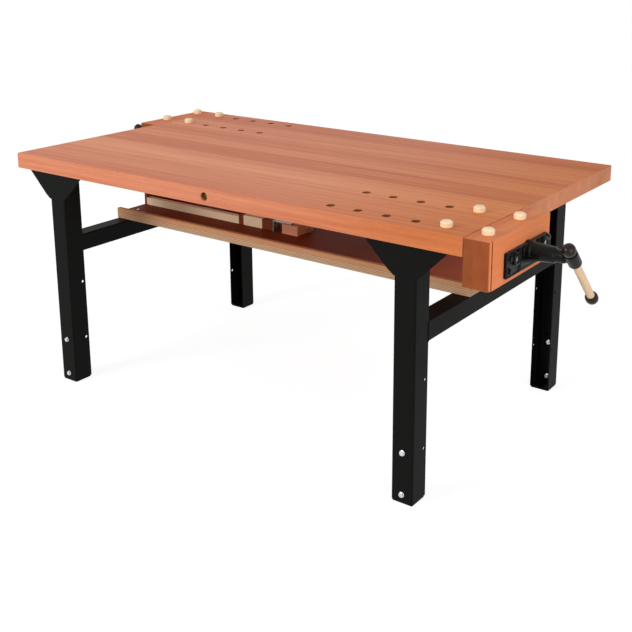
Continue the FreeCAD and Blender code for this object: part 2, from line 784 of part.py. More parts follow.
def guide_rods():
    rods = []
    for y in RODS_Y:
        finish = JAW_OUT + FACE_T + BOSS_RISE - BOSS_RECESS
        shoulder = YOKE_X + YOKE_T
        body = rod(ROD_R, finish - shoulder, vec(shoulder, y, AXIS_Z), X_AXIS)
        stud = rod(
            ROD_STUD_R, YOKE_T + YOKE_NUT + STUD_PROUD, vec(shoulder, y, AXIS_Z), -X_AXIS)
        rods.append(fuse_all([body, stud]))
    return rods


def vise_yoke():
    """Bar with three round bosses: it ties the inner ends of the guide rods and steadies the screw."""
    pieces = [box(
        YOKE_X, YOKE_X + YOKE_T, RODS_Y[0], RODS_Y[1],
        AXIS_Z - YOKE_HIGH / 2, AXIS_Z + YOKE_HIGH / 2)]
    for y in (*RODS_Y, AXIS_Y):
        pieces.append(rod(YOKE_BOSS_R, YOKE_T, vec(YOKE_X, y, AXIS_Z), X_AXIS))
    tools = [rod(PILOT_R + SCREW_CLEAR, YOKE_T, vec(YOKE_X, AXIS_Y, AXIS_Z), X_AXIS)]
    for y in RODS_Y:
        tools.append(rod(ROD_STUD_R + FASTENER_CLEAR, YOKE_T, vec(YOKE_X, y, AXIS_Z), X_AXIS))
    return cut_all(fuse_all(pieces), tools)


def vise_yoke_nuts():
    nuts = []
    for y in RODS_Y:
        seat = vec(YOKE_X, y, AXIS_Z)
        nut = hexagon(YOKE_NUT_FLATS, YOKE_NUT, seat, -X_AXIS)
        nuts.append(nut.cut(rod(ROD_STUD_R + FASTENER_CLEAR, YOKE_NUT, seat, -X_AXIS)))
    return nuts


def body_screw_spots():
    xs = (BODY_START + BODY_SCREW_IN, BODY_END - BODY_SCREW_IN)
    return [(x, AXIS_Y + side * BODY_SCREW_OFF) for x in xs for side in (-1, 1)]


def vise_body():
    """Casting screwed under the top: two rod bearings and the seat of the screw nut, tied by ribs."""
    long = BODY_END - BODY_START
    low = TOP_UNDER - BODY_FLANGE
    y0, y1 = AXIS_Y - BODY_HALF, AXIS_Y + BODY_HALF
    flange = box(BODY_START, BODY_END, y0, y1, low, TOP_UNDER)
    spots = [(x, y) for x in (BODY_START, BODY_END) for y in (y0, y1)]
    pieces = [flange.makeFillet(BODY_ROUND, vertical_edges(flange, spots))]
    core = rod(BODY_CORE_R, long, vec(BODY_START, AXIS_Y, AXIS_Z), X_AXIS)
    pieces.append(core.common(box(
        BODY_START, BODY_END, y0, y1, AXIS_Z - BODY_CORE_R, TOP_UNDER)))
    for y in RODS_Y:
        pieces.append(rod(BODY_BOSS_R, long, vec(BODY_START, y, AXIS_Z), X_AXIS))
    middle = (BODY_START + BODY_END - BODY_RIB_T) / 2
    for x in (BODY_START, middle, BODY_END - BODY_RIB_T):
        pieces.append(box(x, x + BODY_RIB_T, RODS_Y[0], RODS_Y[1], AXIS_Z, TOP_UNDER))
    body = fuse_all(pieces)
    tools = [rod(NUT_R + SCREW_CLEAR, long, vec(BODY_START, AXIS_Y, AXIS_Z), X_AXIS)]
    for y in RODS_Y:
        tools.append(rod(ROD_R + ROD_CLEAR, long, vec(BODY_START, y, AXIS_Z), X_AXIS))
    for x, y in body_screw_spots():
        tools.append(rod(BODY_SCREW_R + FASTENER_CLEAR, BODY_FLANGE, vec(x, y, low), Z_AXIS))
    return cut_all(body, tools)


def vise_body_screws():
    screws = []
    low = TOP_UNDER - BODY_FLANGE
    for x, y in body_screw_spots():
        head = hexagon(BOLT_FLATS, BOLT_HEAD, vec(x, y, low), -Z_AXIS)
        shank = rod(BODY_SCREW_R, BODY_FLANGE + BODY_SCREW_BITE, vec(x, y, low), Z_AXIS)
        screws.extend(both_ways(fuse_all([head, shank])))
    return screws


def screw_nut():
    nut = rod(NUT_R, NUT_LONG, vec(NUT_START, AXIS_Y, AXIS_Z), X_AXIS)
    return nut.cut(rod(
        SCREW_R + SCREW_CLEAR, NUT_LONG, vec(NUT_START, AXIS_Y, AXIS_Z), X_AXIS))


def bar_way(tilt):
    """Direction of the handle bar's long end, tilted from straight down."""
    return vec(0, math.sin(math.radians(tilt)), -math.cos(math.radians(tilt)))


def bar_centre():
    return vec(NOSE_X + BAR_HOLE_AT, AXIS_Y, AXIS_Z)


def vise_screw(tilt):
    """Screw with its cross sleeve for the handle bar and a pilot at the inner end."""
    way = bar_way(tilt)
    cross = rod(CROSS_R, 2 * CROSS_HALF, ORIGIN, X_AXIS)
    cross = cross.makeFillet(
        CROSS_ROUND, rim_edges(cross, 0) + rim_edges(cross, 2 * CROSS_HALF))
    cross.Placement = FreeCAD.Placement(
        bar_centre() - way * CROSS_HALF, FreeCAD.Rotation(X_AXIS, way))
    neck = rod(NECK_R, BAR_HOLE_AT, vec(NOSE_X, AXIS_Y, AXIS_Z), X_AXIS)
    shaft = rod(SCREW_R, NOSE_X - PILOT_START, vec(PILOT_START, AXIS_Y, AXIS_Z), X_AXIS)
    tail = YOKE_X - STUD_PROUD
    pilot = rod(PILOT_R, PILOT_START - tail, vec(tail, AXIS_Y, AXIS_Z), X_AXIS)
    hole = rod(
        BAR_R + BAR_CLEAR, 2 * CROSS_HALF, bar_centre() - way * CROSS_HALF, way)
    return fuse_all([cross, neck, shaft, pilot]).cut(hole)


def rim_edges(shape, x):
    """Round edges that lie in the plane across the screw at one x."""
    return [edge for edge in shape.Edges if edge.BoundBox.XLength < SAME_PLACE
            and abs(edge.BoundBox.XMin - x) < SAME_PLACE]


def thrust_collar():
    start = JAW_OUT - COLLAR_GAP - COLLAR_LONG
    ring = rod(COLLAR_R, COLLAR_LONG, vec(start, AXIS_Y, AXIS_Z), X_AXIS)
    return ring.cut(rod(SCREW_R + SCREW_CLEAR, COLLAR_LONG, vec(start, AXIS_Y, AXIS_Z), X_AXIS))


def handle_bar(tilt):
    way = bar_way(tilt)
    inset = KNOB_LONG / 2 - KNOB_SOCKET
    start = bar_centre() - way * (KNOB_UP - inset)
    return rod(BAR_R, KNOB_UP + KNOB_DOWN - 2 * inset, start, way)


def handle_knobs(tilt):
    """Both end knobs; the upper one rests on the screw's cross sleeve."""
    solids = []
    for side, reach in ((-1, KNOB_UP), (1, KNOB_DOWN)):
        way = bar_way(tilt) * side
        solids.append(end_knob(bar_centre() + way * (reach - KNOB_LONG / 2), way))
    return solids


def end_knob(mouth, way):
    """Round-bellied knob with a domed crown and a socket, drawn from its mouth outwards."""
    belly = Part.Arc(
        vec(0, KNOB_MOUTH_R, 0), vec(KNOB_WIDEST_AT, KNOB_R, 0),
        vec(KNOB_SHOULDER_AT, KNOB_SHOULDER_R, 0)).toShape()
    crown = Part.Arc(
        vec(KNOB_SHOULDER_AT, KNOB_SHOULDER_R, 0), crown_middle(),
        vec(KNOB_LONG, 0, 0)).toShape()
    front = Part.makeLine(ORIGIN, vec(0, KNOB_MOUTH_R, 0))
    middle = Part.makeLine(vec(KNOB_LONG, 0, 0), ORIGIN)
    knob = Part.Face(Part.Wire([front, belly, crown, middle])).revolve(ORIGIN, X_AXIS, 360)
    knob = knob.cut(rod(BAR_R + KNOB_CLEAR, KNOB_SOCKET, ORIGIN, X_AXIS))
    knob.Placement = FreeCAD.Placement(mouth, FreeCAD.Rotation(X_AXIS, way))
    return knob


def crown_middle():
    """Point half-way round the crown's arc, whose centre lies on the knob's axis."""
    square = KNOB_LONG ** 2 - KNOB_SHOULDER_AT ** 2 - KNOB_SHOULDER_R ** 2
    centre = square / (2 * (KNOB_LONG - KNOB_SHOULDER_AT))
    radius = KNOB_LONG - centre
    half = math.atan2(KNOB_SHOULDER_R, KNOB_SHOULDER_AT - centre) / 2
    return vec(centre + radius * math.cos(half), radius * math.sin(half), 0)


def save_vise(side, tilt):
    """Write one vise; the left one is turned to the other end."""
    place = half_turn if side == "left" else (lambda shape: shape)
    nodes = {
        "jaw": vise_jaw(),
        "plate": vise_plate(),
        "plate_bolts": vise_plate_bolts(),
        "guide_rods": guide_rods(),
        "yoke": vise_yoke(),
        "yoke_nuts": vise_yoke_nuts(),
        "body": vise_body(),
        "screw_nut": screw_nut(),
        "screw": vise_screw(tilt),
        "thrust_collar": thrust_collar(),
        "handle_bar": handle_bar(tilt),
        "handle_knobs": handle_knobs(tilt),
    }
    for name, shape in nodes.items():
        turned_shape = [place(one) for one in shape] if isinstance(shape, list) else place(shape)
        save(side + "_vise_" + name, turned_shape)
    for row, y in zip(("outer", "inner"), ROWS_Y):
        save(side + "_jaw_dog_" + row, place(dog(JAW_DOG_X, y)))
        save(side + "_top_dog_" + row, place(dog(hole_xs()[0], y)))


def save_frame():
    names = ("front_right", "front_left", "back_right", "back_left")
    for name, one_leg, one_plate in zip(names, corners(leg()), corners(head_plate())):
        save("leg_" + name, one_leg)
        save("head_plate_" + name, one_plate)
    save("head_plate_screws", head_plate_screws())
    save("foot_inserts", corners(foot_insert()))
    bolts = []
    for one in leg_bolt_sets():
        bolts.extend(corners(one))
    save("leg_bolts_and_nuts", bolts)
    save("rail_right", rail())
    save("rail_left", half_turn(rail()))
    save("rail_end_plates", corners(rail_end_plate()))


def save_shelf():
    save("shelf_panel", shelf_panel())
    save("shelf_lips", both_ways(shelf_lip()))
    save("shelf_screws", [shelf_screw(x, y) for x, y in shelf_screw_spots()])
    save("shelf_end_board", shelf_end_board())
    save("shelf_strip", shelf_strip())
    blocks = [shelf_block(STRIP_END, BLOCK_A_END), shelf_block(PALE_END, BLOCK_B_END)]
    save("shelf_blocks", blocks)
    save("shelf_pale_block", shelf_block(BLOCK_A_END, PALE_END))
    save("shelf_angle", shelf_angle())
    save("shelf_stop_block", shelf_stop_block())
    save("shelf_stop_bolts", shelf_stop_bolts())


os.makedirs("parts", exist_ok=True)
save("bench_top", bench_top())
save("tie_rod", tie_rod())
save("tie_rod_nuts", tie_rod_nuts())
save_frame()
save_shelf()
save("vise_body_screws", vise_body_screws())
save_vise("right", RIGHT_TILT)
save_vise("left", LEFT_TILT)
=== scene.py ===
"""Woodworking bench with two end vises, dressed for the camera.

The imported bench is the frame: every solid keeps its place and size.  Each class below takes one
sub-assembly of it and gives its solids their timber, paint or metal.  It adds the pieces that are too fine
for a solid, which are weld beads, screw threads and washers, and it stands finer forms in for the vises'
iron castings, their screws and the knobs of their handles.
"""

from __future__ import annotations

import logging
import math
from collections.abc import Sequence
from dataclasses import dataclass
from enum import Enum
from functools import cache

import bmesh
import bpy
import numpy as np
from mathutils import Matrix, Vector


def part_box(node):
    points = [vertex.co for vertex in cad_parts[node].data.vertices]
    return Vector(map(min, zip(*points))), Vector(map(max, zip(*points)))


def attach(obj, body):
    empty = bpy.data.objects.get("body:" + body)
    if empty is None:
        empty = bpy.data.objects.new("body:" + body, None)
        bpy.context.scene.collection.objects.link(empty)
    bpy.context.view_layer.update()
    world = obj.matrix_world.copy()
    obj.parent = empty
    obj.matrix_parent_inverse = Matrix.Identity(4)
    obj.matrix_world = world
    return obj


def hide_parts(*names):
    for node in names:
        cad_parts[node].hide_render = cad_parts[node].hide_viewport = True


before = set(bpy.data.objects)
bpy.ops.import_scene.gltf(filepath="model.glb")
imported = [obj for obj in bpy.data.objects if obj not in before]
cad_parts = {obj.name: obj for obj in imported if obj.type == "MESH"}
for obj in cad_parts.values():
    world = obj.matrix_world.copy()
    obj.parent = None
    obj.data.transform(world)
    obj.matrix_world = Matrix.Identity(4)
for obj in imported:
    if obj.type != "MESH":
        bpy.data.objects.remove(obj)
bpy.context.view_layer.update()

LOG = logging.getLogger("bench")
FULL_TURN = 2.0 * math.pi

Socket = bpy.types.NodeSocket
Wired = Socket | float | tuple[float, ...]
Sockets = Sequence[tuple[str, str]]
Point = tuple[float, float]
Triple = tuple[float, float, float]


class Grain(Enum):
    """The direction that the fibres of a board run in."""

    LENGTH = "X"
    DEPTH = "Y"
    HEIGHT = "Z"


class Side(Enum):
    """Which end of the bench a vise is on; the value turns the right vise's drawing into that side's."""

    RIGHT = 1.0
    LEFT = -1.0

    @property
    def word(self) -> str:
        """The side's word in the names of nodes and bodies."""
        return self.name.lower()


@dataclass(frozen=True)
class Colour:
    """A colour written as display values from 0 to 255."""

    red: float
    green: float
    blue: float

    def rgba(self) -> tuple[float, float, float, float]:
        """The colour as linear values with full alpha.

        Returns:
            Four numbers, each display value undone by the standard curve: divided by 12.92 near black, and
            otherwise shifted, scaled and raised to 2.4.
        """
        shares = np.array([self.red, self.green, self.blue]) / 255.0
        linear = np.where(shares <= 0.04045, shares / 12.92, ((shares + 0.055) / 1.055) ** 2.4)
        return (*[float(value) for value in linear], 1.0)


# ---- shader nodes ----

# Shares of a stave's width at which its glue line is full and gone.
SEAM_FULL, SEAM_GONE = 0.004, 0.016
# How far each stave's pattern is read from its neighbour's: a step for its heart, then along and across.
STAVE_STEP, STAVE_ALONG, STAVE_ACROSS = 0.618, 3.7, 2.3
# How many features each noise of the timber has to a metre, with the grain and across it, and what it does.
SWAY_SCALE, SWAY_REACH = (2.2, 4.0, 4.0), 0.02
BAND_SCALE, BAND_SHARE = (1.6, 70.0, 70.0), 1.6
FIBRE_SCALE, FIBRE_ROUGH = (9.0, 520.0, 520.0), 0.16
FLECK_SCALE, FLECK_FROM, FLECK_TO = (150.0, 1100.0, 1100.0), 0.62, 0.72
FLECK_SHADE, FLECK_DEPTH = 0.1, 0.6
# Where the heart of a stave lies: its reach across, its reach in depth, and how far below the stave.
HEART_ACROSS, HEART_DEPTH, HEART_DROP = 0.11, 0.3, 0.2
WOBBLE_SCALE, WOBBLE_REACH = 38.0, 0.006
RING_PITCH = 0.0042  # metres from one growth ring to the next
PORE_SCALE, PATCH_SCALE = 1500.0, 26.0
# How much the rings, the pores, the patches and the stave's tone add to the brightness of an end face.
END_LEVEL, RING_SHARE, PORE_SHARE, PATCH_SHARE, TONE_SHARE = 0.56, 0.055, 0.14, 0.55, 0.22
TIMBER_ROUGH = 0.46
# The bend, as one minus the cosine, at which an edge starts to show and shows in full, and what breaks it up.
EDGE_FROM, EDGE_TO, CHIP_SCALE, CHIP_FROM, CHIP_TO = 0.02, 0.22, 140.0, 0.38, 0.62
CAST_SCALE, DUST_SCALE, DUST_ROUGH = 160.0, 9.0, 0.14


class Graph:
    """Adds nodes to one node tree and wires them.

    Each step takes sockets or plain values, and returns the socket of its result.
    """

    def __init__(self, tree: bpy.types.NodeTree) -> None:
        """Keeps the node tree of a material, a group or the world."""
        self.tree = tree

    def add(self, kind: str, **settings: object) -> bpy.types.Node:
        """Adds a node.

        Args:
            kind: The node's type without its ShaderNode prefix, or its whole type name.
            settings: Properties of the node.

        Returns:
            The new node.
        """
        node = self.tree.nodes.new(kind if kind.startswith("Node") else f"ShaderNode{kind}")
        for name, value in settings.items():
            setattr(node, name, value)
        return node

    def feed(self, target: Socket, source: Wired) -> None:
        """Wires a socket, or sets its value.

        Args:
            target: The input socket.
            source: An output socket, or a plain value.
        """
        if isinstance(source, bpy.types.NodeSocket):
            self.tree.links.new(source, target)
        elif target.type == "VECTOR":
            target.default_value = tuple(source)[:3]
        else:
            target.default_value = source

    def fill(self, node: bpy.types.Node, *inputs: Wired) -> bpy.types.Node:
        """Feeds a node's inputs in their order.

        Args:
            node: The node.
            inputs: What goes into its first inputs.

        Returns:
            The same node.
        """
        for socket, source in zip(node.inputs, inputs):
            self.feed(socket, source)
        return node

    def maths(self, operation: str, *inputs: Wired, clamp: bool = False) -> Socket:
        """One arithmetic step on numbers, kept between 0 and 1 if it is clamped."""
        return self.fill(self.add("Math", operation=operation, use_clamp=clamp), *inputs).outputs[0]

    def plus(self, first: Wired, second: Wired, clamp: bool = False) -> Socket:
        """The sum of two numbers."""
        return self.maths("ADD", first, second, clamp=clamp)

    def less(self, first: Wired, second: Wired) -> Socket:
        """The first number less the second."""
        return self.maths("SUBTRACT", first, second)

    def times(self, first: Wired, second: Wired, clamp: bool = False) -> Socket:
        """The product of two numbers."""
        return self.maths("MULTIPLY", first, second, clamp=clamp)

    def rest(self, share: Wired) -> Socket:
        """What a share leaves of 1."""
        return self.less(1.0, share)

    def vectors(self, operation: str, *inputs: Wired) -> Socket:
        """One arithmetic step on vectors; a dot product or a length gives a number."""
        node = self.fill(self.add("VectorMath", operation=operation), *inputs)
        return node.outputs["Value" if operation in ("DOT_PRODUCT", "LENGTH") else "Vector"]

    def noise(self, vector: Wired, scale: Wired, detail: float = 2.0, roughness: float = 0.5) -> Socket:
        """Smooth noise between 0 and 1.

        Args:
            vector: Where it is read.
            scale: How many features there are to a unit, for all axes or for each.
            detail: How many finer layers it has.
            roughness: How strong the finer layers are.

        Returns:
            The noise value.
        """
        if isinstance(scale, tuple):
            vector, scale = self.vectors("MULTIPLY", vector, scale), 1.0
        node = self.add("TexNoise")
        given = {"Vector": vector, "Scale": scale, "Detail": detail, "Roughness": roughness}
        for title, value in given.items():
            self.feed(node.inputs[title], value)
        return node.outputs["Fac"]

    def split(self, vector: Wired) -> tuple[Socket, Socket, Socket]:
        """The three parts of a vector."""
        return tuple(self.fill(self.add("SeparateXYZ"), vector).outputs)

    def join(self, x: Wired, y: Wired, z: Wired) -> Socket:
        """A vector from three numbers."""
        return self.fill(self.add("CombineXYZ"), x, y, z).outputs[0]

    def between(self, value: Wired, low: float, high: float) -> Socket:
        """A soft step: 0 below low, 1 above high, and a smooth rise between them."""
        node = self.add("MapRange", interpolation_type="SMOOTHSTEP")
        return self.fill(node, value, low, high).outputs["Result"]

    def blend(self, share: Wired, first: Wired, second: Wired) -> Socket:
        """A mix of two colours.

        Args:
            share: How much of the second colour there is.
            first: The first colour.
            second: The second colour.

        Returns:
            The mixed colour.
        """
        node = self.add("Mix", data_type="RGBA")
        for place, source in ((0, share), (6, first), (7, second)):
            self.feed(node.inputs[place], source)
        return node.outputs[2]

    def dimmed(self, colour: Wired, factor: Wired) -> Socket:
        """A colour multiplied by a number.

        Args:
            colour: The colour.
            factor: What each channel is multiplied by.

        Returns:
            The dimmed colour.
        """
        node = self.add("VectorMath", operation="SCALE")
        self.feed(node.inputs[0], colour)
        self.feed(node.inputs["Scale"], factor)
        return node.outputs["Vector"]

    def steps(self, value: Wired, tones: Sequence[float]) -> Socket:
        """A staircase of tones.

        Args:
            value: A number from 0 to 1 along the staircase.
            tones: The tone of each equally wide step.

        Returns:
            The tone at that place.
        """
        node = self.add("ValToRGB")
        ramp = node.color_ramp
        ramp.interpolation = "CONSTANT"
        for place in range(2, len(tones)):
            ramp.elements.new(place / len(tones))
        for place, tone in enumerate(tones):
            ramp.elements[place].position = place / len(tones)
            ramp.elements[place].color = (tone, tone, tone, 1.0)
        self.feed(node.inputs[0], value)
        return node.outputs["Color"]

    def group(self, tree: bpy.types.NodeTree, **values: Wired) -> bpy.types.Node:
        """Places a node group.

        Args:
            tree: The group's tree.
            values: Its inputs by name.

        Returns:
            The group node.
        """
        node = self.add("Group", node_tree=tree)
        for name, source in values.items():
            self.feed(node.inputs[name], source)
        return node


class SharedGroup:
    """A node group that several finishes use, opened for its making."""

    def __init__(self, name: str, inputs: Sockets, outputs: Sockets) -> None:
        """Makes the group and its sockets.

        Args:
            name: The group's name.
            inputs: The name and the kind (Float, Vector or Color) of each input.
            outputs: The same for each output.
        """
        self.tree = bpy.data.node_groups.new(name, "ShaderNodeTree")
        for way, sockets in (("INPUT", inputs), ("OUTPUT", outputs)):
            for title, kind in sockets:
                self.tree.interface.new_socket(title, in_out=way, socket_type=f"NodeSocket{kind}")
        self.graph = Graph(self.tree)
        self.given = self.graph.add("NodeGroupInput").outputs
        self.wanted = self.graph.add("NodeGroupOutput").inputs

    def give(self, **results: Wired) -> bpy.types.NodeTree:
        """Wires the group's outputs.

        Args:
            results: The outputs by name.

        Returns:
            The finished tree.
        """
        for name, source in results.items():
            self.graph.feed(self.wanted[name], source)
        return self.tree


@cache
def glued_staves() -> bpy.types.NodeTree:
    """Boards glued side by side.

    The stave's number is the place across divided by the stave's width, rounded down.  Its tone is a random
    number of that stave, and the glue line shows where the remainder is near 0 or 1.

    Returns:
        The node group.
    """
    made = SharedGroup(
        "glued_staves",
        (("Across", "Float"), ("Width", "Float"), ("Seed", "Float")),
        (("Tone", "Float"), ("Shift", "Float"), ("Seam", "Float")),
    )
    graph = made.graph
    place = graph.maths("DIVIDE", made.given["Across"], made.given["Width"])
    number = graph.maths("FLOOR", place)
    chance = graph.add("TexWhiteNoise", noise_dimensions="1D")
    own = graph.plus(number, made.given["Seed"])
    graph.feed(chance.inputs["W"], own)
    edge = graph.maths("PINGPONG", place, 0.5)
    seam = graph.rest(graph.between(edge, SEAM_FULL, SEAM_GONE))
    return made.give(Tone=chance.outputs["Value"], Shift=own, Seam=seam)


@cache
def timber_fibres() -> bpy.types.NodeTree:
    """Planed timber with its fibres along the first axis of the vector.

    Side faces mix two colours by long bands and fine fibres, which are noise stretched along the grain, with
    short dark flecks where a stretched noise is high.  End faces show growth rings: a wave of the distance
    from the heart of each stave, and fine pores.

    Returns:
        The node group.
    """
    made = SharedGroup(
        "timber_fibres",
        (
            ("Vector", "Vector"), ("Facing", "Float"), ("Light", "Color"), ("Dark", "Color"),
            ("End", "Color"), ("Tone", "Float"), ("Shift", "Float"), ("Streaks", "Float"),
        ),
        (("Color", "Color"), ("Rough", "Float"), ("Height", "Float")),
    )
    graph, given = made.graph, made.given
    step = graph.maths("FRACT", graph.times(given["Shift"], STAVE_STEP))
    offset = graph.join(graph.times(given["Shift"], STAVE_ALONG), step, graph.times(step, STAVE_ACROSS))
    place = graph.vectors("ADD", given["Vector"], offset)
    sway = graph.less(graph.noise(place, SWAY_SCALE), 0.5)
    swayed = graph.vectors("ADD", place, graph.join(0.0, graph.times(sway, SWAY_REACH), 0.0))
    bands = graph.noise(swayed, BAND_SCALE, 3.0)
    fibres = graph.noise(swayed, FIBRE_SCALE, 3.0, 0.65)
    flecks = graph.between(graph.noise(place, FLECK_SCALE, 0.0), FLECK_FROM, FLECK_TO)
    wide = graph.times(graph.less(bands, 0.5), graph.times(given["Streaks"], BAND_SHARE))
    fine = graph.times(graph.less(fibres, 0.5), given["Streaks"])
    share = graph.plus(given["Tone"], graph.plus(wide, fine), clamp=True)
    side = graph.blend(share, given["Dark"], given["Light"])
    side = graph.dimmed(side, graph.rest(graph.times(flecks, FLECK_SHADE)))

    sunk = graph.less(graph.times(step, HEART_DEPTH), HEART_DROP)
    heart = graph.join(0.0, graph.times(step, HEART_ACROSS), sunk)
    across = graph.vectors("SUBTRACT", graph.vectors("MULTIPLY", given["Vector"], (0.0, 1.0, 1.0)), heart)
    wobble = graph.times(graph.noise(given["Vector"], WOBBLE_SCALE, 3.0), WOBBLE_REACH)
    radius = graph.plus(graph.vectors("LENGTH", across), wobble)
    ring = graph.maths("SINE", graph.times(radius, FULL_TURN / RING_PITCH))
    pores = graph.noise(given["Vector"], PORE_SCALE, 1.0)
    patch = graph.noise(place, PATCH_SCALE, 4.0, 0.6)
    shade = graph.plus(graph.times(ring, RING_SHARE), graph.times(pores, PORE_SHARE))
    shade = graph.plus(shade, graph.times(patch, PATCH_SHARE))
    shade = graph.plus(shade, graph.times(given["Tone"], TONE_SHARE))
    cut = graph.dimmed(given["End"], graph.plus(shade, END_LEVEL))

    colour = graph.blend(given["Facing"], side, cut)
    rough = graph.plus(TIMBER_ROUGH, graph.times(fibres, FIBRE_ROUGH))
    height = graph.less(fibres, graph.times(flecks, FLECK_DEPTH))
    return made.give(Color=colour, Rough=rough, Height=height)


@cache
def soft_arris() -> bpy.types.NodeTree:
    """Softened edges, marked for paint worn thin and for the painted highlight on timber edges.

    A normal averaged over a small radius differs from the face's own normal only near an edge, so one minus
    their dot product marks the edges, and noise breaks the mark up.

    Returns:
        The node group, with the mark and the averaged normal.
    """
    made = SharedGroup(
        "soft_arris",
        (("Vector", "Vector"), ("Radius", "Float"), ("Amount", "Float")),
        (("Edge", "Float"), ("Normal", "Vector")),
    )
    graph = made.graph
    rounded = graph.add("Bevel", samples=6)
    graph.feed(rounded.inputs["Radius"], made.given["Radius"])
    own = graph.add("NewGeometry").outputs["Normal"]
    match = graph.vectors("DOT_PRODUCT", rounded.outputs["Normal"], own)
    turned = graph.between(graph.rest(match), EDGE_FROM, EDGE_TO)
    broken = graph.between(graph.noise(made.given["Vector"], CHIP_SCALE, 4.0, 0.7), CHIP_FROM, CHIP_TO)
    mark = graph.times(graph.times(turned, broken), made.given["Amount"], clamp=True)
    return made.give(Edge=mark, Normal=rounded.outputs["Normal"])


@cache
def sprayed_skin() -> bpy.types.NodeTree:
    """The skin of powder coat or of painted iron.

    Orange peel is smooth noise at the scale of the droplets, cast roughness is coarser noise under it, and
    dust is a very large soft noise that lightens the colour a little.

    Returns:
        The node group.
    """
    made = SharedGroup(
        "sprayed_skin",
        (("Vector", "Vector"), ("Droplet", "Float"), ("Casting", "Float")),
        (("Height", "Float"), ("Rough", "Float"), ("Dust", "Float")),
    )
    graph = made.graph
    peel = graph.noise(made.given["Vector"], graph.maths("DIVIDE", 1.0, made.given["Droplet"]))
    coarse = graph.noise(made.given["Vector"], CAST_SCALE, 5.0, 0.62)
    height = graph.plus(peel, graph.times(coarse, made.given["Casting"]))
    dust = graph.noise(made.given["Vector"], DUST_SCALE, 4.0, 0.6)
    rough = graph.times(graph.less(dust, 0.5), DUST_ROUGH)
    return made.give(Height=height, Rough=rough, Dust=dust)


class Shaded:
    """A material under construction: its graph, its principled shader and the object coordinates."""

    def __init__(self, name: str, **constants: float) -> None:
        """Opens the material.

        Args:
            name: The material's name.
            constants: Values set on the shader's own sockets, with underscores for spaces.
        """
        self.material = bpy.data.materials.new(name)
        self.material.use_nodes = True
        self.graph = Graph(self.material.node_tree)
        self.shader = self.material.node_tree.nodes["Principled BSDF"]
        for title, value in constants.items():
            self.shader.inputs[title.replace("_", " ")].default_value = value
        coordinates = self.graph.add("TexCoord")
        self.place = coordinates.outputs["Object"]
        self.facing = coordinates.outputs["Normal"]

    def paint(self, colour: Wired, rough: Wired) -> None:
        """Sets the colour and the roughness.

        Args:
            colour: The base colour.
            rough: The roughness.
        """
        self.graph.feed(self.shader.inputs["Base Color"], colour)
        self.graph.feed(self.shader.inputs["Roughness"], rough)

    def relief(self, height: Socket, distance: float, strength: float, normal: Socket | None = None) -> None:
        """Adds the surface relief.

        Args:
            height: The relief from 0 to 1.
            distance: How deep it is, in metres.
            strength: How much of it shows.
            normal: The normal that it starts from.
        """
        bump = self.graph.add("Bump")
        bump.inputs["Distance"].default_value = distance
        bump.inputs["Strength"].default_value = strength
        self.graph.feed(bump.inputs["Height"], height)
        if normal is not None:
            self.graph.feed(bump.inputs["Normal"], normal)
        self.graph.feed(self.shader.inputs["Normal"], bump.outputs["Normal"])


# ---- finishes ----


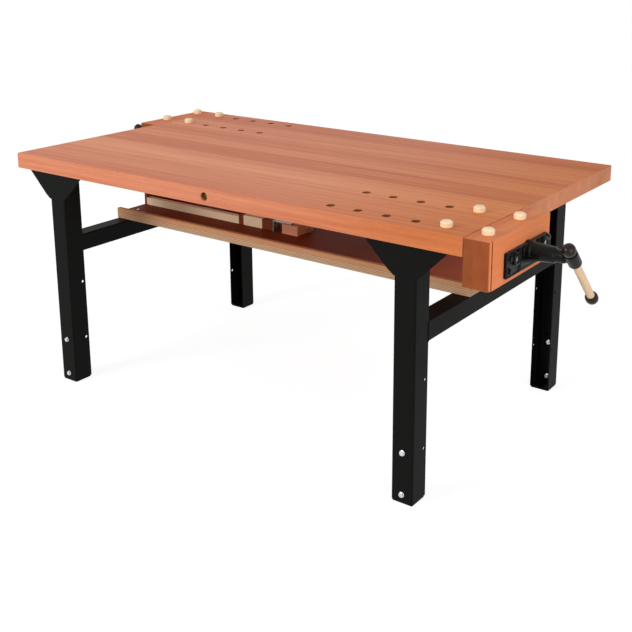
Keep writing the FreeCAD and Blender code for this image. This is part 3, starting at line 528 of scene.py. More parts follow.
@dataclass(frozen=True)
class TimberFinish:
    """Planed and oiled timber.

    Its three colours are those of its pale fibres, its dark fibres and its cut ends.  The tones of its
    staves are either given from the first stave to the last, or left to chance.
    """

    name: str
    light: Colour
    dark: Colour
    end: Colour
    grain: Grain = Grain.LENGTH
    stave: float = 0.2
    tones: tuple[float, ...] = ()
    streaks: float = 0.5
    seam: float = 0.0
    evenness: float = 0.5
    seed: float = 0.0
    arris: float = 0.0008
    specular: float = 0.08
    end_from: float = 0.6
    end_to: float = 0.85
    # how much lighter timber edges are painted, as a painted highlight
    arris_highlight: float = 0.12
    core: Point = (0.0, 0.0)
    core_margin: Point = (0.006, 0.003)
    # how much the bore walls are darkened, as painted shade
    bore_shade: float = 0.62
    # a tint that side faces take on along X
    length_tint: Colour | None = None
    length_tint_from: float = 0.1
    length_tint_to: float = 0.9

    def along(self, graph: Graph, vector: Socket) -> tuple[Socket, Socket]:
        """Turns a vector so that its first part runs with the grain.

        Args:
            graph: Where the nodes go.
            vector: The vector in the bench's axes.

        Returns:
            The turned vector and its part along the grain.
        """
        x, y, z = graph.split(vector)
        order = {Grain.LENGTH: (x, y, z), Grain.DEPTH: (y, x, z), Grain.HEIGHT: (z, y, x)}[self.grain]
        return graph.join(*order), order[0]

    def bored(self, made: Shaded) -> Socket:
        """Marks bore walls for painted shade: upright faces within the core, whose half sizes run along X and
        Y.

        Args:
            made: The material under construction.

        Returns:
            The mask.
        """
        graph = made.graph
        upright = graph.maths("ABSOLUTE", graph.split(made.facing)[2])
        mark = graph.rest(graph.between(upright, 0.3, 0.6))
        outer, inner = self.core_margin
        for part, half in zip(graph.split(made.place), self.core):
            within = graph.between(graph.maths("ABSOLUTE", part), half - outer, half - inner)
            mark = graph.times(mark, graph.rest(within))
        return mark

    def build(self) -> bpy.types.Material:
        """Makes the material.

        Returns:
            The material, with stave tones, fibres, end grain, glue lines, bores darkened as painted shade,
            and softened edges lightened as a painted highlight.
        """
        made = Shaded(self.name, Specular_IOR_Level=self.specular)
        graph = made.graph
        place, _ = self.along(graph, made.place)
        _, facing = self.along(graph, made.facing)
        end_face = graph.between(graph.maths("ABSOLUTE", facing), self.end_from, self.end_to)
        across = graph.split(place)[1]
        staves = graph.group(glued_staves(), Across=across, Width=self.stave, Seed=self.seed)
        tone = graph.plus(graph.times(staves.outputs["Tone"], 1.0 - self.evenness), self.evenness / 2)
        if self.tones:
            width = self.stave * len(self.tones)
            share = graph.plus(graph.maths("DIVIDE", across, width), 0.5, clamp=True)
            tone = graph.steps(share, self.tones)
        fibres = graph.group(
            timber_fibres(),
            Vector=place,
            Facing=end_face,
            Light=self.light.rgba(),
            Dark=self.dark.rgba(),
            End=self.end.rgba(),
            Tone=tone,
            Shift=staves.outputs["Shift"],
            Streaks=self.streaks,
        )
        edges = graph.group(soft_arris(), Vector=made.place, Radius=self.arris, Amount=0.5)
        seams = graph.rest(graph.times(staves.outputs["Seam"], self.seam))
        colour = graph.dimmed(fibres.outputs["Color"], seams)
        # Painted highlight: timber edges are lightened as if catching the light.
        colour = graph.dimmed(colour, graph.plus(1.0, graph.times(edges.outputs["Edge"], self.arris_highlight)))
        # Side faces are tinted yellower towards +X, and stay whiter towards -X.
        if self.length_tint:
            tint_share = graph.between(graph.split(made.place)[0], self.length_tint_from, self.length_tint_to)
            tint_share = graph.times(tint_share, graph.rest(end_face))
            tint = graph.blend(tint_share, (1.0, 1.0, 1.0, 1.0), self.length_tint.rgba())
            colour = graph.vectors("MULTIPLY", colour, tint)
        if any(self.core):
            # Painted shade: the walls of the bores are darkened where shade falls inside the holes.
            depth = graph.times(self.bored(made), self.bore_shade)
            colour = graph.dimmed(colour, graph.rest(depth))
        made.paint(colour, fibres.outputs["Rough"])
        made.relief(fibres.outputs["Height"], distance=0.00012, strength=0.55, normal=edges.outputs["Normal"])
        return made.material


@dataclass(frozen=True)
class PlywoodFinish:
    """Plywood whose edges show the plies, and whose reddish face veneer is painted dark as the top's shade
    and lighter at the shelf's open end as painted light.
    """

    name: str
    # the face colour, darkened as painted shade of the top
    face: Colour
    painted_lit_face: Colour
    pale_ply: Colour
    dark_ply: Colour
    ply: float = 0.00244
    waver: float = 0.0007
    specular: float = 0.1
    arris: float = 0.001
    painted_light_from: float = 0.25
    painted_light_to: float = 0.72

    def build(self) -> bpy.types.Material:
        """Makes the material.

        Plies are the height, which wavers a little, divided by the ply's thickness, and every other one is
        dark.  Patches along the edge and fibres on the face vary the brightness about their middle.

        Returns:
            The material.
        """
        made = Shaded(self.name, Specular_IOR_Level=self.specular)
        graph = made.graph
        x, _, z = graph.split(made.place)
        waver = graph.times(graph.noise(made.place, (6.0, 6.0, 0.0)), self.waver)
        layer = graph.maths("DIVIDE", graph.plus(z, waver), self.ply)
        crossed = graph.between(graph.maths("PINGPONG", layer, 1.0), 0.42, 0.58)
        patch = graph.noise(made.place, (30.0, 30.0, 500.0), 3.0)
        pale = graph.dimmed(self.pale_ply.rgba(), graph.plus(0.84, graph.times(patch, 0.32)))
        dark = graph.dimmed(self.dark_ply.rgba(), graph.plus(0.7, graph.times(patch, 0.6)))
        edge = graph.blend(crossed, dark, pale)
        fibres = graph.noise(made.place, (2.5, 190.0, 190.0), 4.0, 0.6)
        # Painted light and shade: the face runs from its dark shaded colour to a lit one towards the open
        # end.
        painted_light_share = graph.between(x, self.painted_light_from, self.painted_light_to)
        face = graph.blend(painted_light_share, self.face.rgba(), self.painted_lit_face.rgba())
        face = graph.dimmed(face, graph.plus(0.72, graph.times(fibres, 0.56)))
        up = graph.between(graph.maths("ABSOLUTE", graph.split(made.facing)[2]), 0.5, 0.8)
        edges = graph.group(soft_arris(), Vector=made.place, Radius=self.arris, Amount=0.4)
        made.paint(graph.blend(up, edge, face), graph.plus(0.5, graph.times(fibres, 0.15)))
        height = graph.plus(graph.times(crossed, 0.5), fibres)
        made.relief(height, distance=0.00015, strength=0.5, normal=edges.outputs["Normal"])
        return made.material


@dataclass(frozen=True)
class PaintFinish:
    """Paint on steel or iron: its colour, its gloss, its skin, and the edges where it is worn thin."""

    name: str
    colour: Colour
    worn: Colour
    rough: float
    specular: float
    droplet: float
    casting: float
    relief: float
    wear: float
    arris: float = 0.002

    def build(self) -> bpy.types.Material:
        """Makes the material.

        Returns:
            The material.
        """
        made = Shaded(self.name, Specular_IOR_Level=self.specular)
        graph = made.graph
        skin = graph.group(sprayed_skin(), Vector=made.place, Droplet=self.droplet, Casting=self.casting)
        edges = graph.group(soft_arris(), Vector=made.place, Radius=self.arris, Amount=self.wear)
        colour = graph.dimmed(self.colour.rgba(), graph.plus(0.75, graph.times(skin.outputs["Dust"], 0.5)))
        colour = graph.blend(edges.outputs["Edge"], colour, self.worn.rgba())
        made.paint(colour, graph.plus(self.rough, skin.outputs["Rough"]))
        made.relief(skin.outputs["Height"], self.relief, strength=0.5, normal=edges.outputs["Normal"])
        return made.material


@dataclass(frozen=True)
class MetalFinish:
    """Bare or plated metal, with the fine lines of its making across one axis."""

    name: str
    colour: Colour
    stain: Colour
    rough: float
    lines: tuple[float, float, float] = (900.0, 60.0, 60.0)

    def build(self) -> bpy.types.Material:
        """Makes the material.

        The lines are noise squeezed along one axis, and the stain is a large soft noise.

        Returns:
            The material.
        """
        made = Shaded(self.name, Metallic=1.0)
        graph = made.graph
        lines = graph.noise(made.place, self.lines, 2.0)
        cloud = graph.between(graph.noise(made.place, 60.0, 4.0, 0.65), 0.35, 0.75)
        edges = graph.group(soft_arris(), Vector=made.place, Radius=0.0008, Amount=0.6)
        colour = graph.blend(graph.times(cloud, 0.6), self.colour.rgba(), self.stain.rgba())
        colour = graph.dimmed(colour, graph.plus(0.9, graph.times(lines, 0.2)))
        rough = graph.plus(self.rough, graph.times(graph.less(lines, 0.5), 0.2))
        made.paint(colour, rough)
        made.relief(lines, distance=0.00006, strength=0.4, normal=edges.outputs["Normal"])
        return made.material


@dataclass(frozen=True)
class PlasticFinish:
    """Moulded plastic: nearly even, with a slight sheen and a faint flow pattern."""

    name: str
    colour: Colour
    deep: Colour
    rough: float

    def build(self) -> bpy.types.Material:
        """Makes the material.

        Returns:
            The material.
        """
        made = Shaded(self.name, Specular_IOR_Level=0.2, Coat_Weight=0.06, Coat_Roughness=0.12)
        graph = made.graph
        flow = graph.noise(made.place, 45.0, 5.0, 0.6)
        grit = graph.noise(made.place, 900.0, 2.0)
        made.paint(
            graph.blend(flow, self.deep.rgba(), self.colour.rgba()),
            graph.plus(self.rough, graph.times(flow, 0.1)),
        )
        made.relief(grit, distance=0.00004, strength=0.4)
        return made.material


TOP_STAVES = (
    0.48, 0.50, 0.62, 0.58, 0.60, 0.72, 0.84, 0.78, 0.66, 0.34, 0.40, 0.36,
    0.66, 0.62, 0.50, 0.38, 0.56, 0.66, 0.60, 0.62, 0.50, 0.30, 0.40, 0.44,
)

BEECH_TOP = TimberFinish(
    "beech_top", Colour(235, 159, 123), Colour(188, 99, 67), Colour(206, 133, 96),
    stave=1.0 / len(TOP_STAVES), tones=TOP_STAVES, streaks=0.55, seam=0.13, arris=0.0015,
    core=(0.870, 0.500), length_tint=Colour(243, 225, 178),
)
BEECH_JAW = TimberFinish(
    "beech_jaw", Colour(226, 138, 90), Colour(204, 108, 62), Colour(137, 71, 36), Grain.DEPTH,
    stave=0.060, seam=0.03, seed=4.0, arris=0.0015,
)
PALE_DOG = TimberFinish(
    "pale_dog", Colour(246, 222, 186), Colour(232, 198, 156), Colour(244, 220, 184), Grain.HEIGHT,
    stave=0.3, seed=9.0, arris=0.001,
)
PALE_HANDLE = TimberFinish(
    "pale_handle", Colour(238, 210, 178), Colour(222, 190, 154), Colour(224, 196, 160), Grain.HEIGHT,
    stave=0.3, seed=13.0, arris=0.001,
)
# Pale wood, with its colours pushed near white as painted light, since the strip sits in the top's shade.
PALE_STRIP = TimberFinish(
    "pale_strip", Colour(252, 234, 206), Colour(240, 212, 172), Colour(236, 206, 164),
    streaks=0.55, seed=17.0,
)
SHELF_LIP = TimberFinish(
    "shelf_lip", Colour(194, 144, 105), Colour(167, 110, 73), Colour(164, 102, 66),
    streaks=0.6, seed=31.0,
)
BROWN_BLOCK = TimberFinish(
    "brown_block", Colour(148, 78, 52), Colour(112, 52, 32), Colour(120, 60, 38), Grain.HEIGHT,
    streaks=0.6, seed=21.0,
)
RED_BLOCK = TimberFinish(
    "red_block", Colour(226, 160, 126), Colour(200, 128, 94), Colour(196, 122, 88), seed=25.0
)
# Painted shade and light: the face is darkened under the top, and its second colour lightens the open end.
SHELF_PLYWOOD = PlywoodFinish(
    "shelf_plywood", face=Colour(114, 44, 14), painted_lit_face=Colour(196, 104, 70),
    pale_ply=Colour(196, 164, 132), dark_ply=Colour(146, 108, 78),
)
BLACK_POWDER = PaintFinish(
    "black_powder_coat", Colour(11, 11, 10), Colour(30, 30, 27), rough=0.52, specular=0.06,
    droplet=0.0011, casting=0.0, relief=0.00008, wear=0.55,
)
BLACK_CASTING = PaintFinish(
    "black_cast_iron", Colour(13, 13, 12), Colour(40, 42, 39), rough=0.34, specular=0.14,
    droplet=0.0013, casting=1.2, relief=0.00028, wear=0.7, arris=0.0035,
)
BLACK_BOLT = PaintFinish(
    "black_bolt", Colour(15, 15, 14), Colour(52, 52, 49), rough=0.38, specular=0.14,
    droplet=0.0009, casting=0.3, relief=0.00008, wear=0.7, arris=0.0012,
)
GREY_NUT = MetalFinish("grey_iron", Colour(120, 118, 112), Colour(84, 78, 70), 0.45)
ZINC = MetalFinish("zinc_plate", Colour(214, 216, 218), Colour(178, 182, 184), 0.3)
YELLOW_ZINC = MetalFinish("yellow_zinc", Colour(96, 84, 40), Colour(58, 60, 28), 0.4)
BRIGHT_STEEL = MetalFinish("bright_steel", Colour(206, 204, 198), Colour(168, 166, 160), 0.28)
OILED_STEEL = MetalFinish("oiled_steel", Colour(150, 146, 138), Colour(96, 90, 80), 0.34, (60.0, 60.0, 60.0))
DARK_KNOB = PlasticFinish("dark_plastic", Colour(32, 14, 12), Colour(18, 8, 7), 0.24)

Finish = TimberFinish | PlywoodFinish | PaintFinish | MetalFinish | PlasticFinish


@cache
def finish_material(finish: Finish) -> bpy.types.Material:
    """Builds each finish once.

    Args:
        finish: The finish.

    Returns:
        Its material.
    """
    return finish.build()


def dress(finish: Finish, *nodes: str) -> None:
    """Gives solids of the frame their finish.

    Args:
        finish: The finish.
        nodes: The solids' node names.
    """
    for node in nodes:
        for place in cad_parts[node].material_slots:
            place.material = finish_material(finish)
        LOG.info("dressed %s in %s", node, finish.name)


# ---- surfaces ----

CORNER_STEPS = 5  # points of a quarter circle
OFF_AXIS = (0.31, 0.52, 0.79)  # a direction that no carried path runs in
CREST, FLANK = 0.3, 0.4  # shares of half a pitch
SKIN_MERGE = 1e-5  # how near to each other a solid's loose corners lie, in metres
PIECE_MERGE, PIECE_SLIVER = 1e-6, 1e-7  # the same for a new piece, and its shortest edge


def circle(sides: int) -> np.ndarray:
    """The angles that divide a full turn evenly."""
    return np.linspace(0.0, FULL_TURN, sides, endpoint=False)


def round_axis(along: np.ndarray, radius: np.ndarray, angle: np.ndarray) -> np.ndarray:
    """The points (s, r cos a, r sin a) of places, radii and angles that broadcast together."""
    return np.stack(np.broadcast_arrays(along, radius * np.cos(angle), radius * np.sin(angle)), axis=-1)


def run_along(path: np.ndarray) -> np.ndarray:
    """The length run from a path's first point to each of its points."""
    return np.concatenate([[0.0], np.cumsum(np.linalg.norm(np.diff(path, axis=0), axis=1))])


@dataclass
class Patch:
    """One numpy surface: its points, and its faces as rows of four indices."""

    points: np.ndarray
    faces: np.ndarray

    def moved(self, turn: np.ndarray, shift: np.ndarray) -> Patch:
        """The patch turned and then moved.

        Args:
            turn: A 3 by 3 rotation.
            shift: A vector in metres.

        Returns:
            The new patch.
        """
        return Patch(self.points @ turn.T + shift, self.faces)


def arc_through(first: Point, middle: Point, last: Point, count: int) -> list[Point]:
    """Points on the circular arc through three points.

    The centre is where the two perpendicular bisectors meet, found as a two by two linear system, and the
    angle about it runs evenly from the first point to the last by way of the middle one.

    Args:
        first: Where the arc starts.
        middle: A point on it.
        last: Where it ends.
        count: How many points it has.

    Returns:
        The points.
    """
    ends = np.array([first, middle, last], float)
    across = 2.0 * (ends[1:] - ends[:1])
    centre = np.linalg.solve(across, (ends[1:] ** 2).sum(axis=1) - (ends[0] ** 2).sum())
    angle = np.unwrap(np.arctan2(*(ends - centre).T[::-1]))
    sweep = np.linspace(angle[0], angle[2], count)
    reach = np.linalg.norm(ends[0] - centre)
    points = centre + reach * np.stack([np.cos(sweep), np.sin(sweep)], axis=-1)
    return [(float(s), float(r)) for s, r in points]


def woven(grid: np.ndarray, ring: bool) -> Patch:
    """Weaves a grid of points into faces, with its last column joined to its first.

    The face at row r and column c joins the four points of rows r, r + 1 and columns c, c + 1.

    Args:
        grid: Points, shaped rows by columns by 3.
        ring: Whether the last row meets the first as well.

    Returns:
        The patch.
    """
    rows, columns = grid.shape[:2]
    row = np.arange(rows if ring else rows - 1)[:, None]
    column = np.arange(columns)[None, :]
    next_row, next_column = (row + 1) % rows, (column + 1) % columns
    corners = (
        row * columns + column,
        row * columns + next_column,
        next_row * columns + next_column,
        next_row * columns + column,
    )
    faces = np.stack([np.broadcast_to(corner, (row.size, column.size)) for corner in corners], axis=-1)
    return Patch(grid.reshape(-1, 3).astype(float), faces.reshape(-1, 4))


def turned(profile: Sequence[Point], sides: int = 48, ring: bool = False) -> Patch:
    """A profile turned round the X axis.

    The point at angle a of the profile point (s, r) is (s, r cos a, r sin a).  A profile that starts and
    ends at radius 0 closes the shape, as its poles are then single places.

    Args:
        profile: Places along the axis with their radii.
        sides: How many steps the circle has.
        ring: Whether the profile's end meets its start, as in a washer's section.

    Returns:
        The patch.
    """
    along, radius = np.array(profile, float).T
    return woven(round_axis(along[:, None], radius[:, None], circle(sides)), ring)


def aimed(way: Sequence[float]) -> np.ndarray:
    """The rotation that takes the X axis to a direction.

    Its columns are the direction, the cross product of a helper with it, and the cross product of the two.

    Args:
        way: The direction.

    Returns:
        A 3 by 3 rotation.
    """
    first = np.array(way, float) / np.linalg.norm(way)
    helper = np.array([0.0, 0.0, 1.0]) if abs(first[2]) < 0.9 else np.array([0.0, 1.0, 0.0])
    second = np.cross(helper, first)
    second /= np.linalg.norm(second)
    return np.stack([first, second, np.cross(first, second)], axis=-1)


def threaded(
    start: float, end: float, outer: float, depth: float, pitch: float, sides: int = 40, per_turn: int = 12
) -> Patch:
    """A trapezoidal screw thread round the X axis, with its ends run out.

    The radius at place s and angle a is the outer radius less the depth times a trapezoid wave of
    s / pitch - a / (2 pi), faded out over one pitch at either end.

    Args:
        start: Where the thread starts, in metres.
        end: Where it ends.
        outer: The radius over the crests.
        depth: How deep the roots are.
        pitch: The advance in one turn.
        sides: Steps round the circle.
        per_turn: Steps along one pitch.

    Returns:
        The patch, closed at both ends.
    """
    count = int(round((end - start) / pitch * per_turn)) + 1
    along = np.linspace(start, end, count)[:, None]
    angle = circle(sides)[None, :]
    phase = along / pitch - angle / FULL_TURN
    wave = np.abs((phase % 1.0) * 2.0 - 1.0)
    trapezoid = np.clip((wave - CREST) / FLANK, 0.0, 1.0)
    fade = np.clip(np.minimum(along - start, end - along) / pitch, 0.0, 1.0)
    grid = round_axis(along, outer - depth * trapezoid * fade, angle)
    first, last = grid[:1] * (1.0, 0.0, 0.0), grid[-1:] * (1.0, 0.0, 0.0)
    return woven(np.concatenate([first, grid, last]), False)


def carried(path: np.ndarray, radius: np.ndarray, round_path: bool, sides: int = 8) -> Patch:
    """A round section carried along a path.

    At each point of the path the section's circle lies in the plane across the path's direction, spanned
    by that direction's cross product with a fixed helper and by the cross product of those two.

    Args:
        path: The path's points, shaped count by 3.
        radius: The section's radius at each of them.
        round_path: Whether the path's end meets its start.
        sides: Steps round the section.

    Returns:
        The patch; an open path is closed with its ends drawn to points.
    """
    ahead = np.roll(path, -1, axis=0) - np.roll(path, 1, axis=0)
    if not round_path:
        ahead[0], ahead[-1] = path[1] - path[0], path[-1] - path[-2]
    ahead /= np.linalg.norm(ahead, axis=1, keepdims=True)
    first = np.cross(ahead, OFF_AXIS)
    first /= np.linalg.norm(first, axis=1, keepdims=True)
    second = np.cross(ahead, first)
    angle = circle(sides)[None, :, None]
    section = np.cos(angle) * first[:, None, :] + np.sin(angle) * second[:, None, :]
    grid = path[:, None, :] + radius[:, None, None] * section
    if not round_path:
        ends = [np.broadcast_to(path[place], (1, sides, 3)) for place in (0, -1)]
        grid = np.concatenate([ends[0], grid, ends[1]])
    return woven(grid, round_path)


def rounded_square(half_width: float, half_height: float, corner: float, count: int) -> np.ndarray:
    """The outline of a square tube with round corners, in the XZ plane.

    Each corner is a quarter circle about its own centre; the straights join them.

    Args:
        half_width: Half the tube's width.
        half_height: Half its height.
        corner: The radius of its corners.
        count: Points along each straight.

    Returns:
        The outline's points, shaped count by 3, with Y at 0.
    """
    sweep = np.linspace(0.0, math.pi / 2.0, CORNER_STEPS)
    runs = []
    for quarter, (sx, sz) in enumerate(((1, 1), (-1, 1), (-1, -1), (1, -1))):
        angle = sweep + quarter * math.pi / 2.0
        centre = np.array([sx * (half_width - corner), sz * (half_height - corner)])
        runs.append(centre + corner * np.stack([np.cos(angle), np.sin(angle)], axis=-1))
    closed = np.concatenate([*runs, runs[0][:1]])
    length = run_along(closed)
    places = np.linspace(0.0, length[-1], 4 * (count + CORNER_STEPS), endpoint=False)
    x, z = np.interp(places, length, closed[:, 0]), np.interp(places, length, closed[:, 1])
    return np.stack([x, np.zeros_like(x), z], axis=-1)


def linked(name: str, data: bpy.types.ID) -> bpy.types.Object:
    """Makes an object and puts it into the scene.

    Args:
        name: The object's name.
        data: Its mesh, camera or lamp.

    Returns:
        The object, at the origin.
    """
    thing = bpy.data.objects.new(name, data)
    bpy.context.scene.collection.objects.link(thing)
    return thing


@dataclass(frozen=True)
class Berth:
    """Where a piece belongs: its body, its finish, a material slot name that is not used, and the solids that
    it stands for.
    """

    body: str
    finish: Finish
    slot: str
    replaced: tuple[str, ...] = ()


def enter_piece(piece: bpy.types.Object, berth: Berth) -> None:
    """Gives a piece its finish and sets it riding.

    Args:
        piece: The piece.
        berth: Where it belongs.
    """
    piece.data.materials.clear()
    piece.data.materials.append(finish_material(berth.finish))
    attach(piece, berth.body)
    if berth.replaced:
        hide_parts(*berth.replaced)
    LOG.info("made %s: %d faces on %s", piece.name, len(piece.data.polygons), berth.body)


def make_piece(name: str, patches: Sequence[Patch], berth: Berth) -> bpy.types.Object:
    """Makes one object of several patches and sets it riding.

    Args:
        name: The piece's name.
        patches: Its surfaces.
        berth: Where it belongs.

    Returns:
        The object, at the origin, with its doubles merged and its normals outwards.
    """
    starts = np.cumsum([0] + [len(patch.points) for patch in patches[:-1]])
    points = np.concatenate([patch.points for patch in patches])
    faces = np.concatenate([patch.faces + start for patch, start in zip(patches, starts)])
    mesh = bpy.data.meshes.new(name)
    mesh.from_pydata(points.tolist(), [], faces.tolist())
    piece = linked(name, mesh)
    tidy_mesh(mesh)
    enter_piece(piece, berth)
    return piece


def merged_copy(node: str, name: str) -> bpy.types.Object:
    """Copies a solid with its loose triangles merged into one skin.

    Args:
        node: The solid's node name.
        name: The copy's name.

    Returns:
        The copy, which rides on nothing yet.
    """
    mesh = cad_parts[node].data.copy()
    mesh.name = name
    piece = linked(name, mesh)
    work = bmesh.new()
    work.from_mesh(mesh)
    bmesh.ops.remove_doubles(work, verts=work.verts, dist=SKIN_MERGE)
    work.to_mesh(mesh)
    work.free()
    return piece


def sand_cast(node: str, body: str, grain: float, rounds: int) -> None:
    """Stands a sand casting in for a solid: the same form with rounded edges and filled hollow corners.

    The solid's merged copy is skinned again with even cells, and each point of the skin then moves half-way
    to the mean of its neighbours, over and over, which rounds what is sharper than a few cells.

    Args:
        node: The solid's node name.
        body: The body that it rides on.
        grain: The size of a cell, in metres.
        rounds: How many times the points move.
    """
    piece = merged_copy(node, f"{node}_cast")
    skin = piece.modifiers.new("skin", "REMESH")
    skin.mode = "VOXEL"
    skin.voxel_size = grain
    soften = piece.modifiers.new("soften", "SMOOTH")
    soften.factor = 0.5
    soften.iterations = rounds
    seen = piece.evaluated_get(bpy.context.evaluated_depsgraph_get())
    mesh = bpy.data.meshes.new_from_object(seen)
    piece.modifiers.clear()
    piece.data = mesh
    mesh.name = piece.name
    mesh.polygons.foreach_set("use_smooth", np.ones(len(mesh.polygons), bool))
    enter_piece(piece, Berth(body, BLACK_CASTING, "black_iron", (node,)))


def tidy_mesh(mesh: bpy.types.Mesh, angle: float = 35.0) -> None:
    """Merges a mesh's doubles, turns its faces outwards and shades it smooth between sharp edges.

    Args:
        mesh: The mesh.
        angle: Edges that bend by more than this many degrees stay sharp.
    """
    work = bmesh.new()
    work.from_mesh(mesh)
    bmesh.ops.remove_doubles(work, verts=work.verts, dist=PIECE_MERGE)
    bmesh.ops.dissolve_degenerate(work, edges=work.edges, dist=PIECE_SLIVER)
    bmesh.ops.recalc_face_normals(work, faces=work.faces)
    limit = math.radians(angle)
    for face in work.faces:
        face.smooth = True
    for edge in work.edges:
        edge.smooth = len(edge.link_faces) != 2 or edge.calc_face_angle(0.0) < limit
    work.to_mesh(mesh)
    work.free()


# ---- sub-assemblies ----


@dataclass(frozen=True)
class Washer:
    """A flat ring with its two outer edges eased."""

    outer: float
    inner: float
    thick: float
    eased: float = 0.25

    def laid(self, at: Triple, way: Triple) -> Patch:
        """Lays the washer on a face.

        Its section is a rectangle with the outer corners cut by a share of its thickness, turned round the
        bolt's axis.

        Args:
            at: The middle of the face that it starts from.
            way: The direction of its thickness.

        Returns:
            The patch.
        """
        ease = self.thick * self.eased
        bottom, top = [(0.0, self.inner), (0.0, self.outer - ease)], [(self.thick, self.inner)]
        rim = [(ease, self.outer), (self.thick - ease, self.outer), (self.thick, self.outer - ease)]
        return turned(bottom + rim + top, sides=40, ring=True).moved(aimed(way), np.array(at))


@dataclass
class BenchTop:
    """The glued beech slab with its cross bolt."""

    slab: TimberFinish = BEECH_TOP
    edge: float = 0.500
    sink: float = 0.022
    height: float = 0.780
    ring: Washer = Washer(0.0128, 0.0064, 0.0022)

    def build(self) -> None:
        """Dresses the slab and the cross bolt, and adds the bolt's washers."""
        dress(self.slab, "bench_top")
        dress(YELLOW_ZINC, "tie_rod", "tie_rod_nuts")
        seat = self.edge - self.sink
        rings = [
            self.ring.laid((0.0, side * seat, self.height), (0.0, side, 0.0)) for side in (-1.0, 1.0)
        ]
        make_piece("tie_rod_washers", rings, Berth("bench", YELLOW_ZINC, "yellow_zinc"))


@dataclass
class SteelFrame:
    """Legs, head plates, end rails, foot inserts and the fasteners that hold them."""

    paint: PaintFinish = BLACK_POWDER
    bead: float = 0.0022
    ripple: float = 0.0042
    ripple_rise: float = 0.15
    sway_rise: float = 0.07
    sway_rate: float = 190.0
    steps: int = 8
    leg_x: float = 0.6945
    leg_y: float = 0.4485
    leg_half: float = 0.0345
    leg_wall: float = 0.003
    bolt_heights: tuple[float, ...] = (0.027, 0.154)
    rail_corner: float = 0.004
    rail_steps: int = 90
    head_foot: float = 0.662
    head_inset: float = 0.004
    foot_thick: float = 0.005
    insert_gap: float = 0.0002
    insert_depth: float = 0.038
    ring: Washer = Washer(0.0085, 0.0043, 0.0015)

    def names(self, stem: str) -> list[str]:
        """The node names of the four corners' pieces."""
        return [f"{stem}_{end}_{side.word}" for end in ("front", "back") for side in Side]

    def corners(self) -> list[Triple]:
        """Each leg's middle in X, the Y of its outer face, and the sign of that Y."""
        face = self.leg_y + self.leg_half
        return [(sx * self.leg_x, sy * face, sy) for sx in (-1.0, 1.0) for sy in (-1.0, 1.0)]

    def weld(self, path: np.ndarray, closed: bool) -> Patch:
        """A weld bead along a joint.

        The bead's radius swells and shrinks as one plus a small sine of the length run so far, divided by
        the ripple, and a slower sine on top of it.

        Args:
            path: The joint's line, in steps much shorter than a ripple.
            closed: Whether the line meets its start.

        Returns:
            The patch.
        """
        run = run_along(path)
        swell = 1.0 + self.ripple_rise * np.sin(run / self.ripple * FULL_TURN)
        return carried(path, self.bead * (swell + self.sway_rise * np.sin(run * self.sway_rate)), closed)

    def straight(self, start: Sequence[float], end: Sequence[float]) -> Patch:
        """A weld bead along a straight joint.

        The path's points divide the line evenly, with the same number of steps to each ripple.

        Args:
            start: Where the joint starts.
            end: Where it ends.

        Returns:
            The patch.
        """
        line = np.array([start, end], float)
        count = max(self.steps, int(np.linalg.norm(line[1] - line[0]) / self.ripple * self.steps))
        share = np.linspace(0.0, 1.0, count)[:, None]
        return self.weld(line[:1] * (1.0 - share) + line[1:] * share, False)

    def rail_welds(self) -> list[Patch]:
        """Beads round both ends of the two end rails, on the plates that close the legs.

        Returns:
            The patches.
        """
        beads = []
        for side in Side:
            low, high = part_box(f"rail_{side.word}")
            half, middle = (high - low) / 2, (high + low) / 2
            outline = rounded_square(half.x, half.z, self.rail_corner, self.rail_steps)
            for y in (low.y, high.y):
                centre = np.array([middle.x, y, middle.z])
                beads.append(self.weld(outline + centre, True))
        return beads

    def corner_welds(self) -> list[Patch]:
        """Beads where each head plate ends on its leg, and where each insert stands on its foot plate.

        Returns:
            The patches.
        """
        beads = []
        reach, floor = self.leg_half - self.head_inset, self.foot_thick
        wall = self.leg_half - 2.0 * self.leg_wall - self.insert_gap
        for x, face, sign in self.corners():
            inside = face - sign * (2.0 * self.leg_wall + self.insert_gap)
            tail = face - sign * (self.leg_wall + self.insert_depth)
            beads.append(self.straight((x - reach, face, self.head_foot), (x + reach, face, self.head_foot)))
            beads.append(self.straight((x - wall, inside, floor), (x + wall, inside, floor)))
            for edge in (x - wall, x + wall):
                beads.append(self.straight((edge, inside, floor), (edge, tail, floor)))
        return beads

    def washers(self) -> list[Patch]:
        """Washers under the heads of the height bolts and under their nuts.

        Returns:
            The patches.
        """
        rings = []
        for x, face, sign in self.corners():
            back = face - sign * 2.0 * self.leg_wall
            for z in self.bolt_heights:
                rings.append(self.ring.laid((x, face, z), (0.0, sign, 0.0)))
                rings.append(self.ring.laid((x, back, z), (0.0, -sign, 0.0)))
        return rings

    def build(self) -> None:
        """Dresses the steelwork and adds its welds and washers."""
        rails = [f"rail_{side.word}" for side in Side]
        dress(self.paint, *self.names("leg"), *self.names("head_plate"), *rails)
        dress(self.paint, "rail_end_plates", "foot_inserts")
        dress(ZINC, "leg_bolts_and_nuts", "head_plate_screws", "vise_body_screws")
        steelwork = Berth("bench", self.paint, "black_steel")
        make_piece("rail_weld_beads", self.rail_welds(), steelwork)
        make_piece("corner_weld_beads", self.corner_welds(), steelwork)
        make_piece("leg_bolt_washers", self.washers(), Berth("bench", ZINC, "zinc"))


@dataclass
class LowerShelf:
    """The plywood shelf with its lips, and the low rail on its left half."""

    plywood: PlywoodFinish = SHELF_PLYWOOD
    lip: TimberFinish = SHELF_LIP

    def build(self) -> None:
        """Dresses every board, block and fitting of the shelf."""
        dress(self.plywood, "shelf_panel")
        dress(self.lip, "shelf_lips")
        dress(BROWN_BLOCK, "shelf_end_board", "shelf_blocks")
        dress(PALE_STRIP, "shelf_strip", "shelf_pale_block")
        dress(RED_BLOCK, "shelf_stop_block")
        dress(BRIGHT_STEEL, "shelf_angle")
        dress(ZINC, "shelf_screws", "shelf_stop_bolts")


